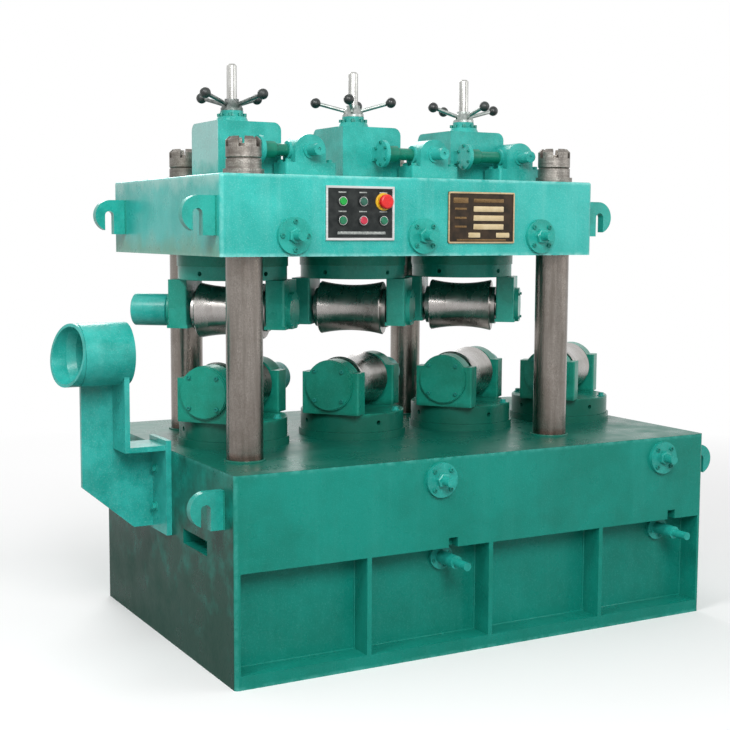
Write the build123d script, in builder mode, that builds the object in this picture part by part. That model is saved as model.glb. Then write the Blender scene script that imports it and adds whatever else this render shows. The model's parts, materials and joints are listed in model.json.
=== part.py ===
from build123d import *
import math
import os

os.makedirs("parts", exist_ok=True)

# Cross-roll rod straightening machine, in millimetres.
# +X is the way the rod travels, -Y is the operator's side, +Z is up.
# The origin is on the floor under the middle of the base.

# Base height, pass line and stations
base_height = 575
pass_line_above_base = 281
pass_line_height = base_height + pass_line_above_base
station_pitch = 405
lower_station_count = 4
upper_station_count = 3
roll_skew = 39.5
roll_centre_offset = 114
entry_end_margin = 225
exit_end_margin = 170

# Base
base_width = 1060
base_length = (lower_station_count - 1) * station_pitch + entry_end_margin + exit_end_margin
base_left = -base_length / 2
base_right = base_length / 2
first_station_x = base_left + entry_end_margin
lower_stations = [first_station_x + station_pitch * n for n in range(lower_station_count)]
upper_stations = [first_station_x + station_pitch * n for n in range(upper_station_count)]
base_corner_radius = 12
bay_count = 4
bay_depth = 75
bay_floor = 38
bay_ceiling = 313
bay_rib = 14
base_end_plate = 16
notch_width = 30
notch_height = 28
notch_depth = 30
end_slot_length = 180
end_slot_height = 42
end_slot_y = -250
end_slot_drop = 232
end_slot_z = base_height - end_slot_drop
end_slot_depth = 60

# Heights of the rolls, and the crosshead beam over them
lower_roll_height = pass_line_height - roll_centre_offset
upper_roll_height = pass_line_height + roll_centre_offset
beam_entry_overhang = 219
beam_exit_overhang = 187
beam_left = upper_stations[0] - beam_entry_overhang
beam_right = upper_stations[-1] + beam_exit_overhang
beam_length = beam_right - beam_left
beam_width = 868
beam_height = 219
beam_clearance = 169
beam_underside = upper_roll_height + beam_clearance
beam_top = beam_underside + beam_height
beam_corner_radius = 12
beam_top_fillet = 7
beam_centre_x = (beam_left + beam_right) / 2

# Columns and their nuts
column_radius = 51
column_thread_radius = 34
front_column_insets = (117, 59)
rear_column_insets = (194, 212)
column_front_xs = (beam_left + front_column_insets[0], beam_right - front_column_insets[1])
column_rear_xs = (beam_left + rear_column_insets[0], beam_right - rear_column_insets[1])
column_inset = 116
column_y = beam_width / 2 - column_inset
column_socket_depth = 100
column_fit = 0.1
nut_pad_radius = 56
nut_pad_height = 16
nut_radius = 49
nut_height = 87
nut_base_height = 26
nut_groove = 3
nut_slot_width = 16
nut_slot_depth = 28
nut_slot_count = 6
nut_crown_chamfer = 10
column_end_above_beam = 84

# Fits and gaps
running_clearance = 0.05
seat_gap = 0.3
weld_gap = 0.2

# Swivel tables and rings
table_radius = 162
ring_radius = 168
lower_ring_height = 22
lower_table_roll_gap = 5.7
table_spigot_radius = 60
table_spigot_length = 18
tommy_hole_radius = 7
tommy_hole_depth = 30
lower_tommy_holes = (-88, 2, 92, 182)
upper_tommy_holes = (-77, -149, -221, -293, -5)
upper_ring_height = 35
upper_ring_radius = 165
upper_table_height = 40
table_edge_chamfer = 2

# Rolls
roll_end_radius = 82
roll_waist_radius = 71
roll_length = 198
roll_edge_chamfer = 3
roll_shoulder_radius = 60
roll_shoulder_length = 14
journal_radius = 35
coupling_radius = 48
coupling_length = 110
coupling_neck = 6
coupling_groove_depth = 3
coupling_bore_radius = 24
coupling_bore_depth = 70

# Yoke cheeks
cheek_gap = 240
cheek_thickness = 57
lower_cheek_width = 186
lower_cheek_shoulder = 40
lower_cheek_top_radius = 78
cheek_edge_radius = 6
lower_cover_radius = 76
cover_thickness = 13
cover_edge_chamfer = 3
shaft_end_gap = 4
upper_cheek_width = 156
upper_cheek_reach = 40
upper_cheek_bottom = upper_roll_height - upper_cheek_reach
upper_cover_radius = 58
upper_cap_height = 10
upper_cap_overhang = 3

# Screw-down spindle and its guide drum
spindle_radius = 15
spindle_projection = 172
spindle_nose_chamfer = 5
drum_radius = 75
drum_length = 150
drum_spigot_radius = 45
drum_spigot_length = 30

# Screw gearboxes on the beam
gearbox_length = 200
gearbox_width = 200
gearbox_height = 164
gearbox_offsets = (13, 12, -11)
gearbox_corner_radius = 24
gearbox_foot = 12
gearbox_foot_height = 14
gearbox_top = beam_top + gearbox_height
spindle_top = gearbox_top + spindle_projection
neck_base_radius = 51
neck_ledge_radius = 43
neck_cone_height = 18
neck_ring_radius = 34
neck_ring_height = 18
neck_height = neck_cone_height + neck_ring_height
worm_flange_radius = 40
worm_flange_thickness = 12
worm_flange_offsets = (12, 12, -98)
worm_housing_radius = 24
worm_housing_length = 40
worm_web_height = 40
worm_axis_height = 82
worm_axis_reach = 55
worm_axis_y = -gearbox_width / 2 - worm_axis_reach
worm_shaft_radius = 18

# Angle blocks between the gearboxes
angle_block_offsets = (161, 175, 86)
angle_block_length = 98
angle_block_width = 84
angle_block_height = 127
angle_foot_length = 162
angle_foot_overhang = 8
angle_foot_height = 46
angle_foot_fillet = 8
angle_collar_radius = 26
angle_collar_length = 8
angle_stub_radius = 17
angle_stub_length = 58
angle_stub_seat_radius = 24
angle_stub_seat_length = 6
angle_dimple_radius = 5
angle_dimple_depth = 4

# Handwheels
wheel_angles = (26.8, 55.5, 1.4)
wheel_arm_count = 4
wheel_reach = 117
wheel_hub_base_radius = 33
wheel_hub_top_radius = 21
wheel_hub_height = 34
wheel_hub_rim = 7
wheel_hub_lip = 6
wheel_arm_radius = 6
wheel_arm_tilt = 15
wheel_knob_radius = 16
wheel_arm_start_radius = 24
wheel_arm_start_height = 18

# Adjuster flanges on the front and rear faces
adjuster_radius = 50
adjuster_thickness = 12
adjuster_stub_radius = 13
adjuster_stub_length = 46
beam_adjuster_shift = -8
beam_adjuster_rise = 56
base_adjuster_drop = 63
bay_adjuster_drop = 41
beam_adjuster_height = beam_underside + beam_adjuster_rise
base_adjuster_height = base_height - base_adjuster_drop
bay_adjuster_height = bay_ceiling - bay_adjuster_drop
bay_adjuster_radius = 37
bay_adjuster_thickness = 12
bay_adjuster_shift = 45
bay_hub_radius = 19
bay_hub_length = 80
bay_stub_radius = 12
bay_stub_length = 58

# Lifting hooks on both ends
hook_reach = 96
hook_height = 105
hook_thickness = 26
hook_slot = 28
hook_base = 38
beam_hook_insets = (40, 96)
beam_hook_drop = 58
base_hook_inset = 80
base_hook_drop = 49
beam_hook_ys = (beam_hook_insets[0] - beam_width / 2, beam_width / 2 - beam_hook_insets[1])
beam_hook_top = beam_top - beam_hook_drop
base_hook_y = base_width / 2 - base_hook_inset
base_hook_top = base_height - base_hook_drop

# Control panel and nameplate on the beam
panel_width = 214
panel_height = 148
panel_thickness = 6
panel_rim = 6
panel_rim_depth = 2
panel_back = 1
panel_shift = 194
panel_rise = 118
panel_x = upper_stations[0] + panel_shift
panel_z = beam_underside + panel_rise
nameplate_width = 229
nameplate_height = 147
nameplate_thickness = 3
nameplate_corner = 4
nameplate_shift = 189
nameplate_rise = 109
nameplate_x = upper_stations[1] + nameplate_shift
nameplate_z = beam_underside + nameplate_rise
button_columns = (-56, 8, 72)
button_rows = (32, -20)
button_bezel_radius = 14.5
button_bezel_height = 5
button_radius = 10.5
button_height = 8
button_seat = 4
button_edge = 1.5
stop_stem_radius = 10
stop_head_radius = 20
stop_stem_height = 11
stop_stem_seat = 3
stop_head_height = 14
stop_head_edge = 5

# Entry guide and its bracket
guide_radius = 90
guide_bore_radius = 68
guide_mouth_radius = 81
guide_mouth_step = 20
guide_mouth_depth = 45
guide_mouth_turn = 14
guide_mouth_lean = 8
guide_mouth_spare = 45
guide_collar_length = 26
guide_groove = 3
guide_standoff = 280
guide_left = base_left - guide_standoff
guide_length = 171
web_thickness = 15
web_rear_y = 60
bracket_flange_width = 125
bracket_flange = 15
arm_standoff = 229
arm_width = 93
arm_drop = 240
arm_crank_rise = 130
arm_crank_standoff = 75
arm_left = base_left - arm_standoff
arm_floor = base_height - arm_drop
arm_corner_z = arm_floor + arm_crank_rise
arm_corner_x = base_left - arm_crank_standoff
shelf_step = 15
shelf_height = base_height + shelf_step
mount_plate = 16
mount_plate_width = 140
mount_plate_margins = (9, 14)
mount_plate_bottom = arm_floor - mount_plate_margins[0]
mount_plate_top = shelf_height + mount_plate_margins[1]


def roll_frame(station_x, height, angle):
    """Plane across a roll's axis: local X level, local Y up, local Z along the axis."""
    across = (-math.sin(math.radians(angle)), math.cos(math.radians(angle)), 0)
    along = (math.cos(math.radians(angle)), math.sin(math.radians(angle)), 0)
    return Plane(origin=(station_x, 0, height), x_dir=across, z_dir=along)


def roll_profile_plane(station_x, height, angle):
    """Plane through a roll's axis: local X along the axis, local Y up."""
    along = (math.cos(math.radians(angle)), math.sin(math.radians(angle)), 0)
    level = (math.sin(math.radians(angle)), -math.cos(math.radians(angle)), 0)
    return Plane(origin=(station_x, 0, height), x_dir=along, z_dir=level)


def front_plane(x, y, z):
    """Plane facing the operator: local X along +X, local Y up, local Z along -Y."""
    return Plane(origin=(x, y, z), x_dir=(1, 0, 0), z_dir=(0, -1, 0))


def rear_plane(x, y, z):
    """Plane facing away from the operator: local Z along +Y, local Y up."""
    return Plane(origin=(x, y, z), x_dir=(-1, 0, 0), z_dir=(0, 1, 0))


# Base frame: a box with four open bays along each long side
bay_pitch = base_length / bay_count
bay_height = bay_ceiling - bay_floor
lower_ring_spigot = table_spigot_radius + running_clearance

with BuildPart() as base_frame:
    Box(base_length, base_width, base_height, align=(Align.CENTER, Align.CENTER, Align.MIN))
    fillet(base_frame.edges().filter_by(Axis.Z), base_corner_radius)
    for n in range(bay_count):
        low = base_left + n * bay_pitch + (base_end_plate if n == 0 else bay_rib / 2)
        high = base_left + (n + 1) * bay_pitch - (base_end_plate if n == bay_count - 1 else bay_rib / 2)
        for side in (-1, 1):
            with Locations(((low + high) / 2, side * (base_width / 2 - bay_depth / 2), bay_floor)):
                Box(high - low, bay_depth, bay_height,
                    align=(Align.CENTER, Align.CENTER, Align.MIN), mode=Mode.SUBTRACT)
    for n, side in ((0, 1), (1, -1), (2, 1), (3, -1)):
        notch_x = lower_stations[n] + bay_adjuster_shift
        with Locations((notch_x, side * (base_width / 2 - notch_depth / 2), bay_ceiling)):
            Box(notch_width, notch_depth, notch_height,
                align=(Align.CENTER, Align.CENTER, Align.MIN), mode=Mode.SUBTRACT)
    with Locations((base_left + end_slot_depth / 2, end_slot_y, end_slot_z)):
        Box(end_slot_depth, end_slot_length, end_slot_height, mode=Mode.SUBTRACT)
    with BuildSketch(Plane.XY.offset(base_height)):
        with Locations(*[(x, -column_y) for x in column_front_xs], *[(x, column_y) for x in column_rear_xs]):
            Circle(column_radius + column_fit)
    extrude(amount=-column_socket_depth, mode=Mode.SUBTRACT)
base_frame.part.label = "base_frame"
export_step(base_frame.part, "parts/base_frame.step")

# Columns: plain in the daylight, stepped down to the thread above the beam
column_bottom = base_height - column_socket_depth


def make_columns(xs, y):
    with BuildPart() as columns:
        with BuildSketch(Plane.XY.offset(column_bottom)):
            with Locations(*[(x, y) for x in xs]):
                Circle(column_radius)
        extrude(amount=beam_top - column_bottom)
        with BuildSketch(Plane.XY.offset(beam_top)):
            with Locations(*[(x, y) for x in xs]):
                Circle(column_thread_radius)
        extrude(amount=column_end_above_beam)
    return columns


front_columns = make_columns(column_front_xs, -column_y)
front_columns.part.label = "front_columns"
export_step(front_columns.part, "parts/front_columns.step")

rear_columns = make_columns(column_rear_xs, column_y)
rear_columns.part.label = "rear_columns"
export_step(rear_columns.part, "parts/rear_columns.step")

# Castle nuts on the column threads
nut_places = [(x, -column_y) for x in column_front_xs] + [(x, column_y) for x in column_rear_xs]

nut_bore = column_thread_radius + column_fit
nut_groove_height = nut_pad_height + nut_base_height
nut_top = nut_pad_height + nut_height

with BuildPart() as column_nuts:
    for nut_x, nut_y in nut_places:
        with BuildSketch(Plane(origin=(nut_x, nut_y, beam_top), x_dir=(1, 0, 0), z_dir=(0, -1, 0))):
            with BuildLine():
                Polyline(
                    (nut_bore, 0),
                    (nut_pad_radius, 0),
                    (nut_pad_radius, nut_pad_height),
                    (nut_radius, nut_pad_height),
                    (nut_radius, nut_groove_height),
                    (nut_radius - nut_groove, nut_groove_height + nut_groove),
                    (nut_radius, nut_groove_height + 2 * nut_groove),
                    (nut_radius, nut_top - nut_crown_chamfer),
                    (nut_radius - nut_crown_chamfer, nut_top),
                    (nut_bore, nut_top),
                    close=True,
                )
            make_face()
        revolve(axis=Axis((nut_x, nut_y, 0), (0, 0, 1)))
        with Locations((nut_x, nut_y, beam_top + nut_top)):
            with PolarLocations(nut_radius, nut_slot_count):
                Box(2 * nut_slot_depth, nut_slot_width, 2 * nut_slot_depth, mode=Mode.SUBTRACT)
column_nuts.part.label = "column_nuts"
export_step(column_nuts.part, "parts/column_nuts.step")

# Crosshead beam with its column holes and the guide bores of the three screws
with BuildPart() as crosshead_beam:
    with BuildSketch(Plane.XY.offset(beam_underside)):
        with Locations((beam_centre_x, 0)):
            RectangleRounded(beam_length, beam_width, beam_corner_radius)
    extrude(amount=beam_height)
    fillet(crosshead_beam.faces().sort_by(Axis.Z)[-1].edges(), beam_top_fillet)
    with BuildSketch(Plane.XY.offset(beam_underside)):
        with Locations(*nut_places):
            Circle(column_radius + column_fit)
    extrude(amount=beam_height, mode=Mode.SUBTRACT)
    with BuildSketch(Plane.XY.offset(beam_underside)):
        with Locations(*[(x, 0) for x in upper_stations]):
            Circle(drum_radius + running_clearance)
    extrude(amount=beam_height, mode=Mode.SUBTRACT)
crosshead_beam.part.label = "crosshead_beam"
export_step(crosshead_beam.part, "parts/crosshead_beam.step")

# Fixed rings that the swivel tables turn on
lower_ring_top = base_height + lower_ring_height

with BuildPart() as lower_rings:
    with BuildSketch(Plane.XY.offset(base_height)):
        with Locations(*[(x, 0) for x in lower_stations]):
            Circle(ring_radius)
            Circle(lower_ring_spigot, mode=Mode.SUBTRACT)
    extrude(amount=lower_ring_height)
lower_rings.part.label = "lower_rings"
export_step(lower_rings.part, "parts/lower_rings.step")

upper_ring_bottom = beam_underside - upper_ring_height

with BuildPart() as upper_rings:
    with BuildSketch(Plane.XY.offset(upper_ring_bottom)):
        with Locations(*[(x, 0) for x in upper_stations]):
            Circle(upper_ring_radius)
            Circle(drum_radius + running_clearance, mode=Mode.SUBTRACT)
    extrude(amount=upper_ring_height)
upper_rings.part.label = "upper_rings"
export_step(upper_rings.part, "parts/upper_rings.step")

# Lower swivel tables: disc, spigot, two round-topped cheeks and bearing covers
lower_table_bottom = lower_ring_top + seat_gap
lower_table_top = lower_roll_height - roll_end_radius - lower_table_roll_gap
lower_table_height = lower_table_top - lower_table_bottom
cheek_start = cheek_gap / 2
cheek_end = cheek_start + cheek_thickness
lower_cheek_depth = lower_roll_height - lower_table_top
lower_shoulder_height = lower_roll_height + lower_cheek_shoulder
journal_bore = journal_radius + running_clearance


def add_tommy_holes(station_x, mid_height, turns):
    """Radial holes in the rim of a swivel table, at the angles given."""
    for turn in turns:
        outward = (math.cos(math.radians(turn)), math.sin(math.radians(turn)), 0)
        rim_point = (station_x + table_radius * outward[0], table_radius * outward[1], mid_height)
        rim = Plane(origin=rim_point, z_dir=outward)
        with BuildSketch(rim) as hole:
            Circle(tommy_hole_radius)
        extrude(hole.sketch, amount=-tommy_hole_depth, mode=Mode.SUBTRACT)


for number, station_x in enumerate(lower_stations, start=1):
    across = roll_frame(station_x, lower_roll_height, roll_skew)
    with BuildPart() as lower_table:
        with BuildSketch(Plane.XY.offset(lower_table_bottom)):
            with Locations((station_x, 0)):
                Circle(table_radius)
        extrude(amount=lower_table_height)
        chamfer(lower_table.edges().group_by(Axis.Z)[-1], table_edge_chamfer)
        add_tommy_holes(station_x, lower_table_bottom + lower_table_height / 2, lower_tommy_holes)
        with BuildSketch(Plane.XY.offset(lower_table_bottom)):
            with Locations((station_x, 0)):
                Circle(table_spigot_radius)
        extrude(amount=-table_spigot_length)
        for start in (-cheek_end, cheek_start):
            with BuildSketch(across.offset(start)):
                with Locations((0, (lower_cheek_shoulder - lower_cheek_depth) / 2)):
                    Rectangle(lower_cheek_width, lower_cheek_depth + lower_cheek_shoulder)
                Circle(lower_cheek_top_radius)
                with Locations((0, -lower_cheek_depth - lower_cheek_top_radius)):
                    Rectangle(2 * lower_cheek_width, 2 * lower_cheek_top_radius, mode=Mode.SUBTRACT)
            extrude(amount=cheek_thickness)
        cheek_corners = lower_table.edges().filter_by(Axis.Z)
        cheek_corners = cheek_corners.filter_by_position(Axis.Z, lower_table_top, lower_shoulder_height)
        fillet(cheek_corners, cheek_edge_radius)
        for face_at, outward in ((-cheek_end, -1), (cheek_end, 1)):
            with BuildSketch(across.offset(face_at)):
                Circle(lower_cover_radius)
            extrude(amount=outward * (cover_thickness - cover_edge_chamfer))
            with BuildSketch(across.offset(face_at + outward * (cover_thickness - cover_edge_chamfer))):
                Circle(lower_cover_radius - cover_edge_chamfer)
            extrude(amount=outward * cover_edge_chamfer)
        with BuildSketch(across.offset(-cheek_end)):
            Circle(journal_bore)
        extrude(amount=2 * cheek_end + cover_thickness, mode=Mode.SUBTRACT)
    lower_table.part.label = f"lower_table_{number}"
    export_step(lower_table.part, f"parts/lower_table_{number}.step")

# Rolls: hourglass barrel, shoulders, journals and the drive coupling on one end
barrel_end = roll_length / 2
shoulder_end = barrel_end + roll_shoulder_length
blind_end = cheek_end - shaft_end_gap
coupling_start = cheek_end + cover_thickness + coupling_neck
coupling_end = coupling_start + coupling_length


def make_roll(station_x, height, angle):
    profile_plane = roll_profile_plane(station_x, height, angle)
    with BuildPart() as roll:
        with BuildSketch(profile_plane):
            with BuildLine():
                Polyline(
                    (-barrel_end, roll_end_radius - roll_edge_chamfer),
                    (-barrel_end, roll_shoulder_radius),
                    (-shoulder_end, roll_shoulder_radius),
                    (-shoulder_end, journal_radius),
                    (-blind_end, journal_radius),
                    (-blind_end, 0),
                    (coupling_end - coupling_bore_depth, 0),
                    (coupling_end - coupling_bore_depth, coupling_bore_radius),
                    (coupling_end, coupling_bore_radius),
                    (coupling_end, coupling_radius - coupling_groove_depth),
                    (coupling_end - coupling_groove_depth, coupling_radius),
                    (coupling_start + coupling_groove_depth, coupling_radius),
                    (coupling_start, coupling_radius - coupling_groove_depth),
                    (coupling_start, journal_radius),
                    (shoulder_end, journal_radius),
                    (shoulder_end, roll_shoulder_radius),
                    (barrel_end, roll_shoulder_radius),
                    (barrel_end, roll_end_radius - roll_edge_chamfer),
                    (barrel_end - roll_edge_chamfer, roll_end_radius),
                )
                ThreePointArc(
                    (barrel_end - roll_edge_chamfer, roll_end_radius),
                    (0, roll_waist_radius),
                    (-barrel_end + roll_edge_chamfer, roll_end_radius),
                )
                Line((-barrel_end + roll_edge_chamfer, roll_end_radius),
                     (-barrel_end, roll_end_radius - roll_edge_chamfer))
            make_face()
        revolve(axis=Axis(profile_plane.origin, profile_plane.x_dir))
    return roll


for number, station_x in enumerate(lower_stations, start=1):
    lower_roll = make_roll(station_x, lower_roll_height, roll_skew)
    lower_roll.part.label = f"lower_roll_{number}"
    export_step(lower_roll.part, f"parts/lower_roll_{number}.step")

# Upper yokes: disc under the ring, two straight cheeks with caps
upper_table_top = upper_ring_bottom - seat_gap
upper_table_bottom = upper_table_top - upper_table_height
upper_cheek_height = upper_table_bottom - upper_cheek_bottom
upper_skew = 180 - roll_skew
spigot_bore = drum_spigot_radius + running_clearance

for number, station_x in enumerate(upper_stations, start=1):
    across = roll_frame(station_x, upper_roll_height, upper_skew)
    with BuildPart() as upper_yoke:
        with BuildSketch(Plane.XY.offset(upper_table_bottom)):
            with Locations((station_x, 0)):
                Circle(table_radius)
        extrude(amount=upper_table_height)
        chamfer(upper_yoke.edges().group_by(Axis.Z)[0], table_edge_chamfer)
        add_tommy_holes(station_x, upper_table_bottom + upper_table_height / 2, upper_tommy_holes)
        for start in (-cheek_end, cheek_start):
            with BuildSketch(across.offset(start)):
                with Locations((0, upper_cheek_bottom + upper_cheek_height / 2 - upper_roll_height)):
                    Rectangle(upper_cheek_width, upper_cheek_height)
            extrude(amount=cheek_thickness)
        cheek_corners = upper_yoke.edges().filter_by(Axis.Z)
        cheek_corners = cheek_corners.filter_by_position(Axis.Z, upper_cheek_bottom, upper_table_bottom)
        fillet(cheek_corners, cheek_edge_radius)
        for start in (-cheek_end, cheek_start):
            with BuildSketch(across.offset(start - upper_cap_overhang)):
                with Locations((0, upper_cheek_bottom - upper_cap_height / 2 - upper_roll_height)):
                    Rectangle(upper_cheek_width, upper_cap_height)
            extrude(amount=cheek_thickness + 2 * upper_cap_overhang)
        with BuildSketch(across.offset(-cheek_end - cover_thickness)):
            Circle(upper_cover_radius)
        extrude(amount=cover_thickness)
        with BuildSketch(across.offset(cheek_end)):
            Circle(upper_cover_radius)
        extrude(amount=cover_thickness)
        with Locations((station_x, 0, upper_cheek_bottom - upper_cap_height)):
            Box(3 * cheek_end, 3 * cheek_end, 2 * upper_cover_radius,
                align=(Align.CENTER, Align.CENTER, Align.MAX), mode=Mode.SUBTRACT)
        with BuildSketch(across.offset(-cheek_end)):
            Circle(journal_bore)
        extrude(amount=2 * cheek_end + cover_thickness, mode=Mode.SUBTRACT)
        with BuildSketch(Plane.XY.offset(upper_table_top)):
            with Locations((station_x, 0)):
                Circle(spigot_bore)
        extrude(amount=-drum_spigot_length - seat_gap, mode=Mode.SUBTRACT)
    upper_yoke.part.label = f"upper_yoke_{number}"
    export_step(upper_yoke.part, f"parts/upper_yoke_{number}.step")

    upper_roll = make_roll(station_x, upper_roll_height, upper_skew)
    upper_roll.part.label = f"upper_roll_{number}"
    export_step(upper_roll.part, f"parts/upper_roll_{number}.step")

# Screw spindles: guide drum in the beam, spigot in the yoke, rod through the gearbox
drum_bottom = upper_table_top + seat_gap
drum_top = drum_bottom + drum_length

for number, station_x in enumerate(upper_stations, start=1):
    with BuildPart() as screw_spindle:
        with BuildSketch(Plane.XY.offset(drum_bottom)):
            with Locations((station_x, 0)):
                Circle(drum_radius)
        extrude(amount=drum_length)
        with BuildSketch(Plane.XY.offset(drum_bottom)):
            with Locations((station_x, 0)):
                Circle(drum_spigot_radius)
        extrude(amount=-drum_spigot_length)
        with BuildSketch(Plane.XY.offset(drum_top)):
            with Locations((station_x, 0)):
                Circle(spindle_radius)
        extrude(amount=spindle_top - drum_top)
        chamfer(screw_spindle.edges().group_by(Axis.Z)[-1], spindle_nose_chamfer)
    screw_spindle.part.label = f"screw_spindle_{number}"
    export_step(screw_spindle.part, f"parts/screw_spindle_{number}.step")

# Screw gearboxes: housing with foot and neck, and the worm's housing in front of it
spindle_bore = spindle_radius + running_clearance
worm_axis_z = beam_top + worm_axis_height

for number, station_x in enumerate(upper_stations, start=1):
    box_x = station_x + gearbox_offsets[number - 1]
    flange_x = station_x + worm_flange_offsets[number - 1]
    with BuildPart() as screw_gearbox:
        with BuildSketch(front_plane(box_x, gearbox_width / 2, beam_top)):
            with Locations((0, gearbox_height / 2)):
                Rectangle(gearbox_length, gearbox_height)
        extrude(amount=gearbox_width)
        top_edges = screw_gearbox.faces().sort_by(Axis.Z)[-1].edges()
        fillet([top_edges.sort_by(Axis.X)[-1], top_edges.sort_by(Axis.Y)[-1]], gearbox_corner_radius)
        with BuildSketch(Plane.XY.offset(beam_top)):
            with Locations((box_x, 0)):
                Rectangle(gearbox_length + 2 * gearbox_foot, gearbox_width + 2 * gearbox_foot)
        extrude(amount=gearbox_foot_height)
        with BuildSketch(Plane.XY.offset(gearbox_top)):
            with Locations((station_x, 0)):
                Circle(neck_base_radius)
        extrude(amount=neck_cone_height, taper=math.degrees(
            math.atan((neck_base_radius - neck_ledge_radius) / neck_cone_height)))
        with BuildSketch(Plane.XY.offset(gearbox_top + neck_cone_height)):
            with Locations((station_x, 0)):
                Circle(neck_ring_radius)
        extrude(amount=neck_ring_height)
        with BuildSketch(Plane.YZ.offset(flange_x)):
            with Locations((worm_axis_y, worm_axis_z)):
                Circle(worm_flange_radius)
        extrude(amount=worm_flange_thickness)
        with BuildSketch(Plane.YZ.offset(flange_x)):
            with Locations((worm_axis_y, worm_axis_z)):
                Circle(worm_housing_radius)
            with Locations(((worm_axis_y - gearbox_width / 2) / 2, worm_axis_z)):
                Rectangle(-worm_axis_y - gearbox_width / 2, worm_web_height)
        extrude(amount=worm_flange_thickness + worm_housing_length)
        with BuildSketch(Plane.XY.offset(beam_top)):
            with Locations((station_x, 0)):
                Circle(spindle_bore)
        extrude(amount=gearbox_height + neck_height, mode=Mode.SUBTRACT)
    screw_gearbox.part.label = f"screw_gearbox_{number}"
    export_step(screw_gearbox.part, f"parts/screw_gearbox_{number}.step")

# Angle blocks: round-topped casing on a foot, with a collar and a blank-ended stub
with BuildPart() as angle_blocks:
    for station_x, offset_x in zip(upper_stations, angle_block_offsets):
        block_x = station_x + offset_x
        block_front = worm_axis_y - angle_block_width / 2
        stub_end = block_front - angle_stub_length
        crown = angle_block_height - worm_axis_height
        foot_width = angle_block_width + angle_foot_overhang
        with BuildSketch(Plane.XY.offset(beam_top)):
            with Locations((block_x, worm_axis_y - angle_foot_overhang / 2)):
                RectangleRounded(angle_foot_length, foot_width, angle_foot_fillet)
        extrude(amount=angle_foot_height)
        with BuildSketch(front_plane(block_x, worm_axis_y + angle_block_width / 2, beam_top)):
            with Locations((0, worm_axis_height / 2)):
                Rectangle(angle_block_length, worm_axis_height)
            with Locations((0, worm_axis_height)):
                Ellipse(angle_block_length / 2, crown)
        extrude(amount=angle_block_width)
        with BuildSketch(Plane.YZ.offset(block_x - angle_block_length / 2)):
            with Locations((worm_axis_y, worm_axis_z)):
                Circle(angle_collar_radius)
        extrude(amount=-angle_collar_length)
        with BuildSketch(front_plane(block_x, block_front, worm_axis_z)):
            Circle(angle_stub_seat_radius)
        extrude(amount=angle_stub_seat_length)
        with BuildSketch(front_plane(block_x, block_front, worm_axis_z)):
            Circle(angle_stub_radius)
        extrude(amount=angle_stub_length)
        with BuildSketch(front_plane(block_x, stub_end, worm_axis_z)):
            Circle(angle_dimple_radius)
        extrude(amount=-angle_dimple_depth, mode=Mode.SUBTRACT)
angle_blocks.part.label = "angle_blocks"
export_step(angle_blocks.part, "parts/angle_blocks.step")

# Shaft tubes from each worm's housing to its angle block
with BuildPart() as worm_shafts:
    for number, station_x in enumerate(upper_stations):
        housing_end = station_x + worm_flange_offsets[number] + worm_flange_thickness + worm_housing_length
        tube_end = station_x + angle_block_offsets[number] - angle_block_length / 2 - angle_collar_length
        with BuildSketch(Plane.YZ.offset(housing_end)):
            with Locations((worm_axis_y, worm_axis_z)):
                Circle(worm_shaft_radius)
        extrude(amount=tube_end - housing_end)
worm_shafts.part.label = "worm_shafts"
export_step(worm_shafts.part, "parts/worm_shafts.step")

# Handwheels: cone hub with four raised arms and ball knobs
wheel_bottom = gearbox_top + neck_height + seat_gap

for number, (station_x, angle) in enumerate(zip(upper_stations, wheel_angles), start=1):
    arm_start_z = wheel_bottom + wheel_arm_start_height
    arm_length = (wheel_reach - wheel_arm_start_radius) / math.cos(math.radians(wheel_arm_tilt))
    with BuildPart() as handwheel:
        with BuildSketch(Plane(origin=(station_x, 0, wheel_bottom), x_dir=(1, 0, 0), z_dir=(0, -1, 0))):
            with BuildLine():
                Polyline(
                    (spindle_bore, 0),
                    (wheel_hub_base_radius, 0),
                    (wheel_hub_base_radius, wheel_hub_rim),
                    (wheel_hub_top_radius, wheel_hub_height - wheel_hub_lip),
                    (wheel_hub_top_radius, wheel_hub_height),
                    (spindle_bore, wheel_hub_height),
                    close=True,
                )
            make_face()
        revolve(axis=Axis((station_x, 0, 0), (0, 0, 1)))
        for n in range(wheel_arm_count):
            turn = math.radians(angle + n * 360 / wheel_arm_count)
            tilt = math.radians(wheel_arm_tilt)
            along = (math.cos(turn) * math.cos(tilt), math.sin(turn) * math.cos(tilt), math.sin(tilt))
            start = (
                station_x + wheel_arm_start_radius * math.cos(turn),
                wheel_arm_start_radius * math.sin(turn),
                arm_start_z,
            )
            end = tuple(s + arm_length * a for s, a in zip(start, along))
            with BuildSketch(Plane(origin=start, z_dir=along)):
                Circle(wheel_arm_radius)
            extrude(amount=arm_length)
            with Locations(Plane(origin=end, z_dir=along)):
                Sphere(wheel_knob_radius)
    handwheel.part.label = f"handwheel_{number}"
    export_step(handwheel.part, f"parts/handwheel_{number}.step")


def add_adjuster(plane, radius, thickness, stub_radius, stub_length):
    """Round flange with a stub shaft on a plane."""
    with BuildSketch(plane) as flange:
        Circle(radius)
    extrude(flange.sketch, amount=thickness)
    with BuildSketch(plane) as stub:
        Circle(stub_radius)
    extrude(stub.sketch, amount=thickness + stub_length)


# Adjusters of the upper yokes on the front of the beam
with BuildPart() as beam_adjusters:
    for station_x in upper_stations:
        place = front_plane(station_x + beam_adjuster_shift, -beam_width / 2, beam_adjuster_height)
        add_adjuster(place, adjuster_radius, adjuster_thickness, adjuster_stub_radius, adjuster_stub_length)
beam_adjusters.part.label = "beam_adjusters"
export_step(beam_adjusters.part, "parts/beam_adjusters.step")

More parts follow.
